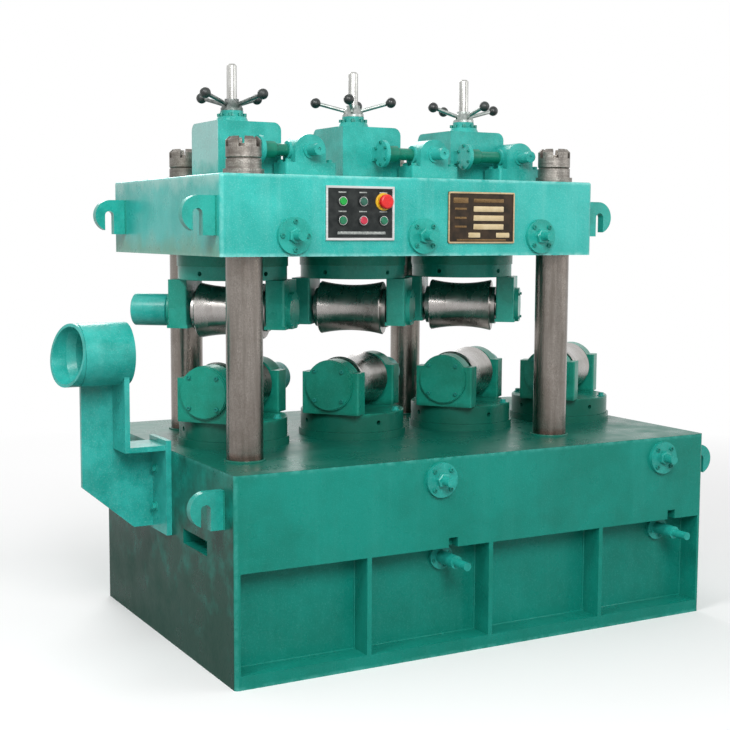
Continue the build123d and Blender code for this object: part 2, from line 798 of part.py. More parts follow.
# Adjusters of the lower tables: stations two and four in front, one and three behind
with BuildPart() as base_adjusters:
    for n, facing in ((0, rear_plane), (1, front_plane), (2, rear_plane), (3, front_plane)):
        side = 1 if facing is rear_plane else -1
        station_x = lower_stations[n]
        place = facing(station_x, side * base_width / 2, base_adjuster_height)
        add_adjuster(place, adjuster_radius, adjuster_thickness, adjuster_stub_radius, adjuster_stub_length)
        bay_x = station_x + bay_adjuster_shift
        bay_y = side * (base_width / 2 - bay_depth)
        place = facing(bay_x, bay_y, bay_adjuster_height)
        add_adjuster(place, bay_adjuster_radius, bay_adjuster_thickness, bay_hub_radius, bay_hub_length)
        place = facing(bay_x, bay_y + side * (bay_adjuster_thickness + bay_hub_length), bay_adjuster_height)
        with BuildSketch(place):
            Circle(bay_stub_radius)
        extrude(amount=bay_stub_length)
base_adjusters.part.label = "base_adjusters"
export_step(base_adjusters.part, "parts/base_adjusters.step")


def add_hook(x, y, top, direction):
    """Plate hook that opens downwards; direction -1 reaches along -X, 1 along +X."""
    facing = Plane(origin=(x, y + direction * hook_thickness / 2, top), x_dir=(direction, 0, 0),
                   z_dir=(0, -direction, 0))
    ring = hook_reach / 2
    with BuildSketch(facing) as outline:
        with Locations((ring, -ring)):
            Circle(ring)
        with Locations((ring / 2, -ring / 2)):
            Rectangle(ring, ring)
        with Locations((hook_base / 2, -hook_height / 2)):
            Rectangle(hook_base, hook_height)
        with Locations((hook_base + hook_slot / 2, -ring)):
            Circle(hook_slot / 2, mode=Mode.SUBTRACT)
        with Locations((hook_base + hook_slot / 2, -ring - hook_height / 2)):
            Rectangle(hook_slot, hook_height, mode=Mode.SUBTRACT)
    extrude(outline.sketch, amount=hook_thickness)


# Lifting hooks on both ends of the beam and of the base
with BuildPart() as lifting_hooks:
    for y in beam_hook_ys:
        add_hook(beam_left, y, beam_hook_top, -1)
        add_hook(beam_right, y, beam_hook_top, 1)
    for y in (-base_hook_y, base_hook_y):
        add_hook(base_left, y, base_hook_top, -1)
        add_hook(base_right, y, base_hook_top, 1)
lifting_hooks.part.label = "lifting_hooks"
export_step(lifting_hooks.part, "parts/lifting_hooks.step")

# Control panel with its rim and button holes
beam_front_y = -beam_width / 2
panel_face_y = beam_front_y - panel_thickness
stop_place = (button_columns[2], button_rows[0])
button_places = [
    (column, row) for row in button_rows for column in button_columns if (column, row) != stop_place
]

with BuildPart() as control_panel:
    with BuildSketch(front_plane(panel_x, beam_front_y, panel_z)):
        Rectangle(panel_width, panel_height)
    extrude(amount=panel_thickness)
    with BuildSketch(front_plane(panel_x, panel_face_y, panel_z)):
        Rectangle(panel_width - 2 * panel_rim, panel_height - 2 * panel_rim)
    extrude(amount=-panel_rim_depth, mode=Mode.SUBTRACT)
    with BuildSketch(front_plane(panel_x, panel_face_y + panel_rim_depth, panel_z)):
        with Locations(*button_places, stop_place):
            Circle(button_bezel_radius)
    extrude(amount=button_bezel_height)
    with BuildSketch(front_plane(panel_x, panel_face_y + panel_rim_depth - button_bezel_height, panel_z)):
        with Locations(*button_places):
            Circle(button_radius + seat_gap)
        with Locations(stop_place):
            Circle(stop_stem_radius + seat_gap)
    extrude(amount=-button_bezel_height - panel_thickness + panel_rim_depth + panel_back, mode=Mode.SUBTRACT)
control_panel.part.label = "control_panel"
export_step(control_panel.part, "parts/control_panel.step")

# Push buttons and the mushroom stop button
bezel_face_y = panel_face_y + panel_rim_depth - button_bezel_height

for number, (column, row) in enumerate(button_places, start=1):
    with BuildPart() as push_button:
        with BuildSketch(front_plane(panel_x + column, bezel_face_y + button_seat, panel_z + row)):
            Circle(button_radius)
        extrude(amount=button_height)
        fillet(push_button.edges().sort_by(Axis.Y)[0], button_edge)
    push_button.part.label = f"push_button_{number}"
    export_step(push_button.part, f"parts/push_button_{number}.step")

with BuildPart() as emergency_stop:
    stop_base = front_plane(panel_x + stop_place[0], bezel_face_y + stop_stem_seat, panel_z + stop_place[1])
    with BuildSketch(stop_base):
        Circle(stop_stem_radius)
    extrude(amount=stop_stem_height)
    with BuildSketch(stop_base.offset(stop_stem_height)):
        Circle(stop_head_radius)
    extrude(amount=stop_head_height)
    fillet(emergency_stop.edges().sort_by(Axis.Y)[0], stop_head_edge)
emergency_stop.part.label = "emergency_stop"
export_step(emergency_stop.part, "parts/emergency_stop.step")

# Blank nameplate
with BuildPart() as nameplate:
    with BuildSketch(front_plane(nameplate_x, beam_front_y, nameplate_z)):
        RectangleRounded(nameplate_width, nameplate_height, nameplate_corner)
    extrude(amount=nameplate_thickness)
nameplate.part.label = "nameplate"
export_step(nameplate.part, "parts/nameplate.step")

# Entry guide bracket: cranked web with an inner flange, bolted to the base's end
arm_right = arm_left + arm_width
web_front_y = web_rear_y - web_thickness
flange_front_y = web_rear_y - bracket_flange_width
plate_left = base_left - mount_plate
shelf_under = shelf_height - bracket_flange

with BuildPart() as guide_bracket:
    with BuildSketch(front_plane(0, web_rear_y, 0)):
        with BuildLine():
            Polyline(
                (arm_left, pass_line_height),
                (arm_left, arm_corner_z),
                (arm_corner_x, arm_floor),
                (plate_left, arm_floor),
                (plate_left, shelf_under),
                (arm_right, shelf_under),
                (arm_right, pass_line_height),
                close=True,
            )
        make_face()
    extrude(amount=web_thickness)
    with BuildSketch(front_plane(0, web_rear_y, 0)):
        with BuildLine():
            Polyline(
                (arm_right, pass_line_height),
                (arm_right, shelf_under),
                (plate_left, shelf_under),
                (plate_left, shelf_height),
                (arm_right + bracket_flange, shelf_height),
                (arm_right + bracket_flange, pass_line_height),
                close=True,
            )
        make_face()
    extrude(amount=bracket_flange_width)
    with BuildSketch(Plane.YZ.offset(plate_left)):
        with Locations((0, (mount_plate_bottom + mount_plate_top) / 2)):
            Rectangle(mount_plate_width, mount_plate_top - mount_plate_bottom)
    extrude(amount=mount_plate)
    with BuildSketch(Plane.YZ.offset(arm_left)):
        with Locations((0, pass_line_height)):
            Circle(guide_radius + weld_gap)
        with Locations((0, pass_line_height + guide_radius)):
            Rectangle(2 * guide_radius, 2 * guide_radius)
    extrude(amount=arm_width + bracket_flange, mode=Mode.SUBTRACT)
guide_bracket.part.label = "guide_bracket"
export_step(guide_bracket.part, "parts/guide_bracket.step")

# Entry guide tube with a wide mouth cut on the slant
guide_right = guide_left + guide_length
guide_blank_left = guide_left - guide_mouth_spare
mouth_turn = math.radians(guide_mouth_turn)
mouth_lean = math.radians(guide_mouth_lean)
mouth_inward = (math.cos(mouth_turn), math.sin(mouth_turn), -math.tan(mouth_lean))
mouth_plane = Plane(origin=(guide_left, 0, pass_line_height), z_dir=mouth_inward)
groove_left = guide_left + guide_collar_length
groove_right = groove_left + guide_groove

with BuildPart() as entry_guide:
    with BuildSketch(Plane.XZ):
        with BuildLine():
            Polyline(
                (guide_blank_left, pass_line_height + guide_mouth_radius),
                (guide_blank_left, pass_line_height + guide_radius),
                (groove_left, pass_line_height + guide_radius),
                (groove_left, pass_line_height + guide_radius - guide_groove),
                (groove_right, pass_line_height + guide_radius - guide_groove),
                (groove_right, pass_line_height + guide_radius),
                (guide_right, pass_line_height + guide_radius),
                (guide_right, pass_line_height + guide_bore_radius),
                (guide_left + guide_mouth_depth, pass_line_height + guide_bore_radius),
                (guide_left + guide_mouth_step, pass_line_height + guide_mouth_radius),
                close=True,
            )
        make_face()
    revolve(axis=Axis((0, 0, pass_line_height), (1, 0, 0)))
    split(bisect_by=mouth_plane, keep=Keep.TOP)
entry_guide.part.label = "entry_guide"
export_step(entry_guide.part, "parts/entry_guide.step")
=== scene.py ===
import bpy
import json
import math
from mathutils import Matrix, Vector

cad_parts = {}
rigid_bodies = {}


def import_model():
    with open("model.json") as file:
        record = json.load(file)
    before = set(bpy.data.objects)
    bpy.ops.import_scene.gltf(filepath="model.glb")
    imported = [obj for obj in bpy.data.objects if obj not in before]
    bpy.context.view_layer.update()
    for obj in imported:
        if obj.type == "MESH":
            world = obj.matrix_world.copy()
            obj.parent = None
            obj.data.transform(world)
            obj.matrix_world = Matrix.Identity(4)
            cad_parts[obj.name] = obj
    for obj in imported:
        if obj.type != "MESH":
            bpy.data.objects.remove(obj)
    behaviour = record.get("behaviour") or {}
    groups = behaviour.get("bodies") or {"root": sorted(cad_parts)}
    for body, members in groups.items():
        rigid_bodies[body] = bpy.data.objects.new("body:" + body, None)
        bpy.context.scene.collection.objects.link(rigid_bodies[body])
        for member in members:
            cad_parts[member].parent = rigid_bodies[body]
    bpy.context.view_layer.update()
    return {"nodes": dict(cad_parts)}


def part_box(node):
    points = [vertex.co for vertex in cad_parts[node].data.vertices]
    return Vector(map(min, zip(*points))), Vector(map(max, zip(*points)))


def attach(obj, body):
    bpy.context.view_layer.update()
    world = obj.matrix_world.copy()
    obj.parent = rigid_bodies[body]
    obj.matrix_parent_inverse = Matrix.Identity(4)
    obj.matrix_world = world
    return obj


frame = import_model()
nodes = frame["nodes"]
print("stage: frame loaded with", len(nodes), "nodes")

# places on the machine, in metres
stations = [-0.580, -0.175, 0.230, 0.635]
upperStations = stations[:3]
rollSkew = 39.5
lowerRollZ, upperRollZ = 0.742, 0.970
baseTop, baseSide, baseEnd, bayWall = 0.575, 0.530, 0.805, 0.455
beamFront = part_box("crosshead_beam")[0].y
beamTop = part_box("column_nuts")[0].z  # the nuts stand on it
wormY, wormZ = -0.155, beamTop + 0.082
hair = 1e-5  # places nearer than this are one place

# camera at the photo's viewpoint, with the focal length and the frame's width in the photo's own pixels
viewpoint = {"place": (-2.141, -3.660, 1.208), "yaw": 28.80, "pitch": -5.76, "roll": 0.26, "focal": 1326.8,
             "frameWidth": 730, "sensor": 36}
yaw, pitch, tilt = (math.radians(viewpoint[key]) for key in ("yaw", "pitch", "roll"))
ahead = Vector((math.sin(yaw) * math.cos(pitch), math.cos(yaw) * math.cos(pitch), math.sin(pitch)))
levelRight = ahead.cross(Vector((0, 0, 1))).normalized()
levelUp = levelRight.cross(ahead)
cameraRight = levelRight * math.cos(tilt) + levelUp * math.sin(tilt)
cameraUp = cameraRight.cross(ahead)
cameraData = bpy.data.cameras.new("camera")
cameraData.sensor_width = viewpoint["sensor"]
cameraData.lens = viewpoint["focal"] / viewpoint["frameWidth"] * viewpoint["sensor"]
camera = bpy.data.objects.new("camera", cameraData)
bpy.context.scene.collection.objects.link(camera)
cameraMatrix = Matrix((cameraRight, cameraUp, -ahead)).transposed().to_4x4()
cameraMatrix.translation = Vector(viewpoint["place"])
camera.matrix_world = cameraMatrix
bpy.context.scene.camera = camera
bpy.context.scene.view_settings.view_transform = "Standard"
print("stage: camera set")


# shared effects as node groups
def newGroup(name, inputs, outputs):  # an input's kind follows from its default: number, vector or colour
    group = bpy.data.node_groups.new(name, "ShaderNodeTree")
    for socketName, value in inputs.items():
        kind = "Float" if isinstance(value, float) else {3: "Vector", 4: "Color"}[len(value)]
        socket = group.interface.new_socket(name=socketName, in_out="INPUT", socket_type="NodeSocket" + kind)
        socket.default_value = value
    for socketName, kind in outputs.items():
        group.interface.new_socket(name=socketName, in_out="OUTPUT", socket_type="NodeSocket" + kind)
    return group, group.nodes.new("NodeGroupInput").outputs, group.nodes.new("NodeGroupOutput")


def put(tree, source, socket):  # a plain value or a colour is set, another node's socket is linked
    if isinstance(source, (int, float)):
        socket.default_value = source
    elif isinstance(source, tuple):
        socket.default_value = (*source, 1)
    else:
        tree.links.new(source, socket)


def feed(tree, shader, sources):
    for name, source in sources.items():
        put(tree, source, shader.inputs[name])


def addNode(tree, kind, **values):
    node = tree.nodes.new(kind)
    for key, value in values.items():
        if hasattr(node, key) and key not in node.inputs:
            setattr(node, key, value)
        else:
            node.inputs[key].default_value = value
    return node


def addMath(tree, operation, first, second=None, clamp=False):
    node = addNode(tree, "ShaderNodeMath", operation=operation, use_clamp=clamp)
    put(tree, first, node.inputs[0])
    if second is not None:
        put(tree, second, node.inputs[1])
    return node.outputs[0]


def addVectorMath(tree, operation, first, second=None):
    node = addNode(tree, "ShaderNodeVectorMath", operation=operation)
    put(tree, first, node.inputs[0])
    if second is not None:
        put(tree, second, node.inputs[1])
    return node.outputs[0]


def addMix(tree, factor, first, second):
    node = addNode(tree, "ShaderNodeMix", data_type="RGBA")
    for index, source in ((0, factor), (6, first), (7, second)):  # the sockets of a colour mix
        put(tree, source, node.inputs[index])
    return node.outputs[2]


def addRange(tree, value, low, high, toLow=0.0, toHigh=1.0):
    node = tree.nodes.new("ShaderNodeMapRange")
    feed(tree, node, {"Value": value, "From Min": low, "From Max": high, "To Min": toLow, "To Max": toHigh})
    return node.outputs[0]


def addNoise(tree, vector, scale, detail=3.0, roughness=0.55):
    node = tree.nodes.new("ShaderNodeTexNoise")
    feed(tree, node, {"Vector": vector, "Scale": scale, "Detail": detail, "Roughness": roughness})
    return node.outputs[0]


def addMarks(tree, noise, low, high, share):  # a mask where the noise is high, as strong as the share
    return addMath(tree, "MULTIPLY", addRange(tree, noise, low, high), share)


def addStretch(tree, vector, scale):
    node = addNode(tree, "ShaderNodeMapping", Scale=scale)
    tree.links.new(vector, node.inputs["Vector"])
    return node.outputs[0]


def splitVector(tree, vector):
    node = tree.nodes.new("ShaderNodeSeparateXYZ")
    tree.links.new(vector, node.inputs[0])
    return node.outputs


def addReach(tree, first, second):  # distance from an axis, by the two offsets across it
    squares = [addMath(tree, "MULTIPLY", offset, offset) for offset in (first, second)]
    return addMath(tree, "SQRT", addMath(tree, "ADD", *squares))


scales = {"runs": (26, 26, 1.6), "blotches": 2.3, "flecks": 300.0, "pits": 240.0, "edgeSheen": 38.0, "gloss": 9.0,
          "peel": 110.0, "lumps": 15.0, "specks": 260.0, "stains": 7.0, "ragged": 14.0}  # waves a metre
grimeColour = (0.012, 0.085, 0.06)
surfaceOutputs = {"Colour": "Color", "Roughness": "Float", "Height": "Float"}


def makePaintGroup():  # sprayed enamel: mottled colour, vertical runs, grime, painted highlights along box edges, orange peel
    group, given, leave = newGroup(
        "sprayedEnamel", {"Vector": (0, 0, 0), "Paint": (0.02, 0.4, 0.3, 1), "Deep": (0.01, 0.3, 0.2, 1),
                          "Chalk And Sheen": (0.2, 0.6, 0.5, 1), "Mottle Scale": 5.0, "Runs": 0.3, "Grime": 0.2,
                          "Edge Sheen": 0.0}, surfaceOutputs)
    vector = given["Vector"]
    mottle = addRange(group, addNoise(group, vector, given["Mottle Scale"], 6.0, 0.65), 0.4, 0.6)
    colour = addMix(group, mottle, given["Deep"], given["Paint"])
    runs = addNoise(group, addStretch(group, vector, scales["runs"]), 1.0, 4.0, 0.6)
    colour = addMix(group, addMarks(group, runs, 0.5, 0.78, given["Runs"]), colour, given["Chalk And Sheen"])
    blotch = addNoise(group, vector, scales["blotches"], 6.0, 0.7)
    grimeMask = addMarks(group, blotch, 0.52, 0.72, given["Grime"])
    colour = addMix(group, grimeMask, colour, grimeColour)
    fleck = addNoise(group, vector, scales["flecks"], 2.0, 0.6)
    colour = addMix(group, addMarks(group, fleck, 0.54, 0.70, 0.26), colour, given["Chalk And Sheen"])
    pit = addNoise(group, vector, scales["pits"], 2.0, 0.6)
    colour = addMix(group, addMarks(group, pit, 0.46, 0.32, 0.35), colour, given["Deep"])
    # painted highlight: pale marks along a box's edges, where rounded edges would catch the light
    edgeSheen = addMarks(group, addNoise(group, vector, scales["edgeSheen"], 3.0, 0.6), 0.35, 0.62, given["Edge Sheen"])
    colour = addMix(group, addMath(group, "MULTIPLY", edgeSheen, 0.75, True), colour, given["Chalk And Sheen"])
    gloss = addRange(group, addNoise(group, vector, scales["gloss"], 4.0, 0.6), 0.3, 0.7, 0.2, 0.42)
    peel = addNoise(group, vector, scales["peel"], 2.0, 0.5)
    lumps = addNoise(group, vector, scales["lumps"], 3.0, 0.5)
    height = addMath(group, "ADD", addMath(group, "MULTIPLY", peel, 0.6), lumps)
    roughness = addMath(group, "ADD", gloss, addMath(group, "MULTIPLY", grimeMask, 0.3), True)
    feed(group, leave, {"Colour": colour, "Roughness": roughness, "Height": height})
    return group


def makeSteelGroup():  # turned or ground steel: lay of the cut, specks and oil stains
    group, given, leave = newGroup(
        "machinedSteel", {"Vector": (0, 0, 0), "Lay": (0, 0, 0), "Metal": (0.4, 0.4, 0.4, 1),
                          "Dull": (0.2, 0.2, 0.2, 1), "Stain": (0.1, 0.08, 0.06, 1), "Stains": 0.4,
                          "Specks": 0.5, "Polish": 0.3}, surfaceOutputs)
    vector = given["Vector"]
    cut = addNoise(group, given["Lay"], 1.0, 4.0, 0.65)
    colour = addMix(group, addRange(group, cut, 0.36, 0.64), given["Dull"], given["Metal"])
    specks = addRange(group, addNoise(group, vector, scales["specks"], 2.0, 0.6), 0.42, 0.6)
    speckMask = addMath(group, "MULTIPLY", specks, given["Specks"])
    colour = addMix(group, speckMask, colour, given["Dull"])
    stain = addNoise(group, vector, scales["stains"], 5.0, 0.7)
    stainMask = addMarks(group, stain, 0.46, 0.68, given["Stains"])
    colour = addMix(group, stainMask, colour, given["Stain"])
    roughness = addMath(group, "ADD", addRange(group, cut, 0.3, 0.7, -0.06, 0.08), given["Polish"])
    roughness = addMath(group, "ADD", roughness, addMath(group, "MULTIPLY", stainMask, 0.2), True)
    height = addMath(group, "ADD", cut, addMath(group, "MULTIPLY", specks, 0.5))
    feed(group, leave, {"Colour": colour, "Roughness": roughness, "Height": height})
    return group


def makeEdgeGroup():  # 1 along the edges of a box, fading over the width
    group, given, leave = newGroup("boxEdges", {"Vector": (0, 0, 0), "Centre": (0, 0, 0),
                                                "Half Size": (1, 1, 1), "Width": 0.01}, {"Mask": "Float"})
    offset = addVectorMath(group, "SUBTRACT", given["Vector"], given["Centre"])
    inside = addVectorMath(group, "SUBTRACT", given["Half Size"], addVectorMath(group, "ABSOLUTE", offset))
    near = []
    for depth in splitVector(group, inside):
        share = addMath(group, "DIVIDE", depth, given["Width"])
        near.append(addMath(group, "SUBTRACT", 1.0, share, True))
    pairs = [addMath(group, "MULTIPLY", near[a], near[b]) for a, b in ((0, 1), (1, 2), (0, 2))]
    total = addMath(group, "ADD", addMath(group, "ADD", pairs[0], pairs[1]), pairs[2], True)
    group.links.new(total, leave.inputs["Mask"])
    return group


def makeBandGroup():  # 1 between two heights, with a ragged edge, and only before an X
    group, given, leave = newGroup("heightBand", {"Vector": (0, 0, 0), "Low": 0.0, "High": 1.0, "Fade": 0.01,
                                                  "Before X": 9.0, "Strength": 1.0}, {"Mask": "Float"})
    vector, fade = given["Vector"], given["Fade"]
    place = splitVector(group, vector)
    ragged = addRange(group, addNoise(group, vector, scales["ragged"], 4.0, 0.6), 0.3, 0.7, -0.5, 0.5)
    height = addMath(group, "ADD", place[2], addMath(group, "MULTIPLY", ragged, fade))
    over = addMath(group, "SUBTRACT", height, given["Low"])
    under = addMath(group, "SUBTRACT", given["High"], height)
    band = addMath(group, "MULTIPLY", addMath(group, "DIVIDE", over, fade, True),
                   addMath(group, "DIVIDE", under, fade, True))
    mask = addMath(group, "MULTIPLY", band, addMath(group, "LESS_THAN", place[0], given["Before X"]))
    group.links.new(addMath(group, "MULTIPLY", mask, given["Strength"], True), leave.inputs["Mask"])
    return group


paintGroup, steelGroup = makePaintGroup(), makeSteelGroup()
edgeGroup, bandGroup = makeEdgeGroup(), makeBandGroup()
print("stage: shared effects built")


def newMaterial(name):
    material = bpy.data.materials.new(name)
    material.use_nodes = True
    tree = material.node_tree
    shader = next(node for node in tree.nodes if node.type == "BSDF_PRINCIPLED")
    place = tree.nodes.new("ShaderNodeTexCoord")
    return material, tree, shader, place.outputs["Object"]


def placeGroup(tree, group, vector, **values):
    node = tree.nodes.new("ShaderNodeGroup")
    node.node_tree = group
    tree.links.new(vector, node.inputs["Vector"])
    for key, value in values.items():
        socket = node.inputs[key]
        socket.default_value = (*value, 1) if socket.type == "RGBA" else value
    return node


def joinBump(tree, shader, height, strength, distance):
    bump = addNode(tree, "ShaderNodeBump", Strength=strength, Distance=distance)
    tree.links.new(height, bump.inputs["Height"])
    tree.links.new(bump.outputs["Normal"], shader.inputs["Normal"])


paints = {
    "beam": {"Paint": (0.038, 0.46, 0.41), "Deep": (0.018, 0.36, 0.315), "Chalk And Sheen": (0.30, 0.66, 0.62),
             "Mottle Scale": 4.0, "Runs": 0.16, "Grime": 0.10},
    # painted shade: the base has a darker copy of the beam's green, though both are one paint
    "base": {"Paint": (0.006, 0.25, 0.195), "Deep": (0.004, 0.20, 0.150), "Chalk And Sheen": (0.08, 0.42, 0.36),
             "Mottle Scale": 3.0, "Runs": 0.08, "Grime": 0.30},
    "casting": {"Paint": (0.030, 0.42, 0.37), "Deep": (0.012, 0.31, 0.265), "Chalk And Sheen": (0.26, 0.62, 0.58),
                "Mottle Scale": 11.0, "Runs": 0.10, "Grime": 0.20},
    "table": {"Paint": (0.008, 0.27, 0.195), "Deep": (0.005, 0.20, 0.135), "Chalk And Sheen": (0.08, 0.44, 0.35),
              "Mottle Scale": 8.0, "Runs": 0.05, "Grime": 0.35},
    "yoke": {"Paint": (0.020, 0.36, 0.28), "Deep": (0.010, 0.27, 0.20), "Chalk And Sheen": (0.14, 0.54, 0.46),
             "Mottle Scale": 9.0, "Runs": 0.06, "Grime": 0.25},
    "fitting": {"Paint": (0.016, 0.37, 0.31), "Deep": (0.008, 0.28, 0.23), "Chalk And Sheen": (0.16, 0.56, 0.50),
                "Mottle Scale": 14.0, "Runs": 0.05, "Grime": 0.22},
    "screw": {"Paint": (0.008, 0.26, 0.21), "Deep": (0.005, 0.19, 0.15), "Chalk And Sheen": (0.12, 0.46, 0.40),
              "Mottle Scale": 40.0, "Runs": 0.0, "Grime": 0.30},
    "tube": {"Paint": (0.003, 0.190, 0.120), "Deep": (0.002, 0.145, 0.092), "Chalk And Sheen": (0.06, 0.40, 0.32),
             "Mottle Scale": 16.0, "Runs": 0.03, "Grime": 0.20},
}
gloss = {  # specular level, coat
    "beam": (0.30, 0.06), "base": (0.22, 0.0), "casting": (0.34, 0.08), "table": (0.25, 0.0),
    "yoke": (0.3, 0.05), "fitting": (0.35, 0.05), "screw": (0.3, 0.0), "tube": (0.3, 0.1),
}
films = {  # oil, dirt and rust lying on parts of the paint, and painted shade and painted glare on others: colour and where it lies
    # oil film and painted shade: the base's top is darkened as under the beam and rolls
    "oilAndShadeTop": ((0.004, 0.105, 0.072), {"Low": 0.5738, "High": 1.0, "Fade": 0.0006, "Strength": 0.85}),
    # painted shade: the base's left end face darkened as if in shadow
    "shadedEnd": ((0.008, 0.046, 0.029),
                 {"Low": -0.8, "High": 0.74, "Fade": 0.50, "Before X": -0.8045, "Strength": 0.90}),
    # painted highlight: whitish glare over the top of the beam's left end face
    "glareEnd": ((0.36, 0.60, 0.55),
                {"Low": 1.322, "High": 1.46, "Fade": 0.045, "Before X": -0.7985, "Strength": 0.7}),
    "oliveEnd": ((0.13, 0.25, 0.13),
                 {"Low": 1.05, "High": 1.20, "Fade": 0.05, "Before X": -0.7985, "Strength": 0.55}),
    "oilyTable": ((0.004, 0.070, 0.046), {"Low": 0.5, "High": 0.665, "Fade": 0.02, "Strength": 0.7}),
    # painted highlight: whitish glare on the left side of the first gearbox
    "glareSide": ((0.40, 0.58, 0.56),
                 {"Low": 1.36, "High": 1.60, "Fade": 0.05, "Before X": -0.6655, "Strength": 0.6}),
    "footRust": ((0.13, 0.055, 0.040), {"Low": 0.5, "High": 0.606, "Fade": 0.014, "Strength": 0.55}),
}


def layFilms(tree, vector, colour, names):
    for film in names:
        shade, where = films[film]
        mask = placeGroup(tree, bandGroup, vector, **where)
        colour = addMix(tree, mask.outputs["Mask"], colour, shade)
    return colour


housing = {"radius": 0.0260, "starts": (0.024, 0.024, -0.086), "fade": 0.0006, "paint": (0.004, 0.175, 0.112)}


def paintHousing(tree, vector, colour, startX):  # the worm's housing is sprayed as dark as the shafts
    place = splitVector(tree, vector)
    aside, rise = addMath(tree, "SUBTRACT", place[1], wormY), addMath(tree, "SUBTRACT", place[2], wormZ)
    near = addRange(tree, addReach(tree, aside, rise), housing["radius"], housing["radius"] - housing["fade"])
    past = addRange(tree, place[0], startX, startX + housing["fade"])
    return addMix(tree, addMath(tree, "MULTIPLY", near, past), colour, housing["paint"])


def makePaint(name, kind, box=None, edgeWidth=0.008, bump=0.5, laid=(), housingStart=None):
    material, tree, shader, vector = newMaterial(name)
    coat = placeGroup(tree, paintGroup, vector, **paints[kind])
    # the box's edges get the painted edge highlight
    if box:
        low, high = box
        edges = placeGroup(tree, edgeGroup, vector, Centre=(low + high) / 2, Width=edgeWidth)
        edges.inputs["Half Size"].default_value = (high - low) / 2
        tree.links.new(edges.outputs["Mask"], coat.inputs["Edge Sheen"])
    colour = layFilms(tree, vector, coat.outputs["Colour"], laid)
    if housingStart is not None:
        colour = paintHousing(tree, vector, colour, housingStart)
    feed(tree, shader, {"Base Color": colour, "Roughness": coat.outputs["Roughness"], "Coat Roughness": 0.15,
                        "Specular IOR Level": gloss[kind][0], "Coat Weight": gloss[kind][1]})
    joinBump(tree, shader, coat.outputs["Height"], bump, 0.0012)
    return material


steels = {
    "column": {"Metal": (0.31, 0.28, 0.255), "Dull": (0.19, 0.17, 0.15), "Stain": (0.11, 0.085, 0.07),
               "Stains": 0.35, "Specks": 0.7, "Polish": 0.22},
    "nut": {"Metal": (0.36, 0.34, 0.31), "Dull": (0.17, 0.155, 0.14), "Stain": (0.09, 0.065, 0.045),
            "Stains": 0.7, "Specks": 0.8, "Polish": 0.42},
    "upperRoll": {"Metal": (0.46, 0.44, 0.425), "Dull": (0.35, 0.33, 0.315), "Stain": (0.20, 0.165, 0.14),
                  "Stains": 0.4, "Specks": 0.4, "Polish": 0.25},
    "lowerRoll": {"Metal": (0.50, 0.49, 0.47), "Dull": (0.39, 0.37, 0.355), "Stain": (0.20, 0.17, 0.14),
                  "Stains": 0.35, "Specks": 0.35, "Polish": 0.23},
    "spindle": {"Metal": (0.62, 0.62, 0.60), "Dull": (0.38, 0.38, 0.36), "Stain": (0.16, 0.17, 0.15),
                "Stains": 0.25, "Specks": 0.3, "Polish": 0.3},
    "arm": {"Metal": (0.50, 0.52, 0.50), "Dull": (0.26, 0.30, 0.28), "Stain": (0.06, 0.15, 0.12),
            "Stains": 0.5, "Specks": 0.4, "Polish": 0.32},
    "screw": {"Metal": (0.30, 0.31, 0.30), "Dull": (0.12, 0.13, 0.125), "Stain": (0.03, 0.09, 0.07),
              "Stains": 0.5, "Specks": 0.5, "Polish": 0.4},
    "aluminium": {"Metal": (0.72, 0.72, 0.71), "Dull": (0.58, 0.58, 0.57), "Stain": (0.35, 0.36, 0.35),
                  "Stains": 0.2, "Specks": 0.2, "Polish": 0.36},
    "brass": {"Metal": (0.62, 0.47, 0.29), "Dull": (0.44, 0.32, 0.18), "Stain": (0.12, 0.08, 0.045),
              "Stains": 0.3, "Specks": 0.3, "Polish": 0.35},
    "brassDull": {"Metal": (0.34, 0.22, 0.10), "Dull": (0.10, 0.06, 0.03), "Stain": (0.05, 0.03, 0.02),
                  "Stains": 0.4, "Specks": 0.5, "Polish": 0.45},
}


def placeSteel(tree, vector, kind, lay):  # lay is the scale of the cutter's marks each way
    metal = placeGroup(tree, steelGroup, vector, **steels[kind])
    tree.links.new(addStretch(tree, vector, lay), metal.inputs["Lay"])
    return metal.outputs


def makeSteel(name, kind, lay, bump=0.3, laid=()):
    material, tree, shader, vector = newMaterial(name)
    metal = placeSteel(tree, vector, kind, lay)
    feed(tree, shader, {"Base Color": layFilms(tree, vector, metal["Colour"], laid),
                        "Roughness": metal["Roughness"], "Metallic": 1.0})
    joinBump(tree, shader, metal["Height"], bump, 0.0004)
    return material


def addLocal(tree, vector, place, angle):  # coordinates along and across a roll's axis
    node = addNode(tree, "ShaderNodeMapping", vector_type="TEXTURE", Location=place,
                   Rotation=(0, 0, math.radians(angle)))
    tree.links.new(vector, node.inputs["Vector"])
    return node.outputs[0]


sleeve = {"from": 0.188, "to": 0.190}  # along a roll's axis from its middle
knobs = {"from": 0.1005, "to": 0.1015, "colour": (0.012, 0.014, 0.014), "dust": (0.05, 0.07, 0.06)}
threadBands = {"scale": 53.0, "waver": 0.15}


def makeRoll(name, kind, stationX, height, angle):  # bright turned barrel, green sleeve past the bearing
    material, tree, shader, vector = newMaterial(name)
    local = addLocal(tree, vector, (stationX, 0, height), angle)
    metal = placeSteel(tree, local, kind, (30, 12, 12))
    paint = placeGroup(tree, paintGroup, vector, **paints["casting"])
    green = addRange(tree, splitVector(tree, local)[0], sleeve["from"], sleeve["to"])
    bare = addMath(tree, "SUBTRACT", 1.0, green)
    roughness = addMath(tree, "ADD", addMath(tree, "MULTIPLY", bare, metal["Roughness"]),
                        addMath(tree, "MULTIPLY", green, paint.outputs["Roughness"]))
    feed(tree, shader, {"Base Color": addMix(tree, green, metal["Colour"], paint.outputs["Colour"]),
                        "Roughness": roughness, "Metallic": bare})
    joinBump(tree, shader, metal["Height"], 0.05, 0.0003)
    return material


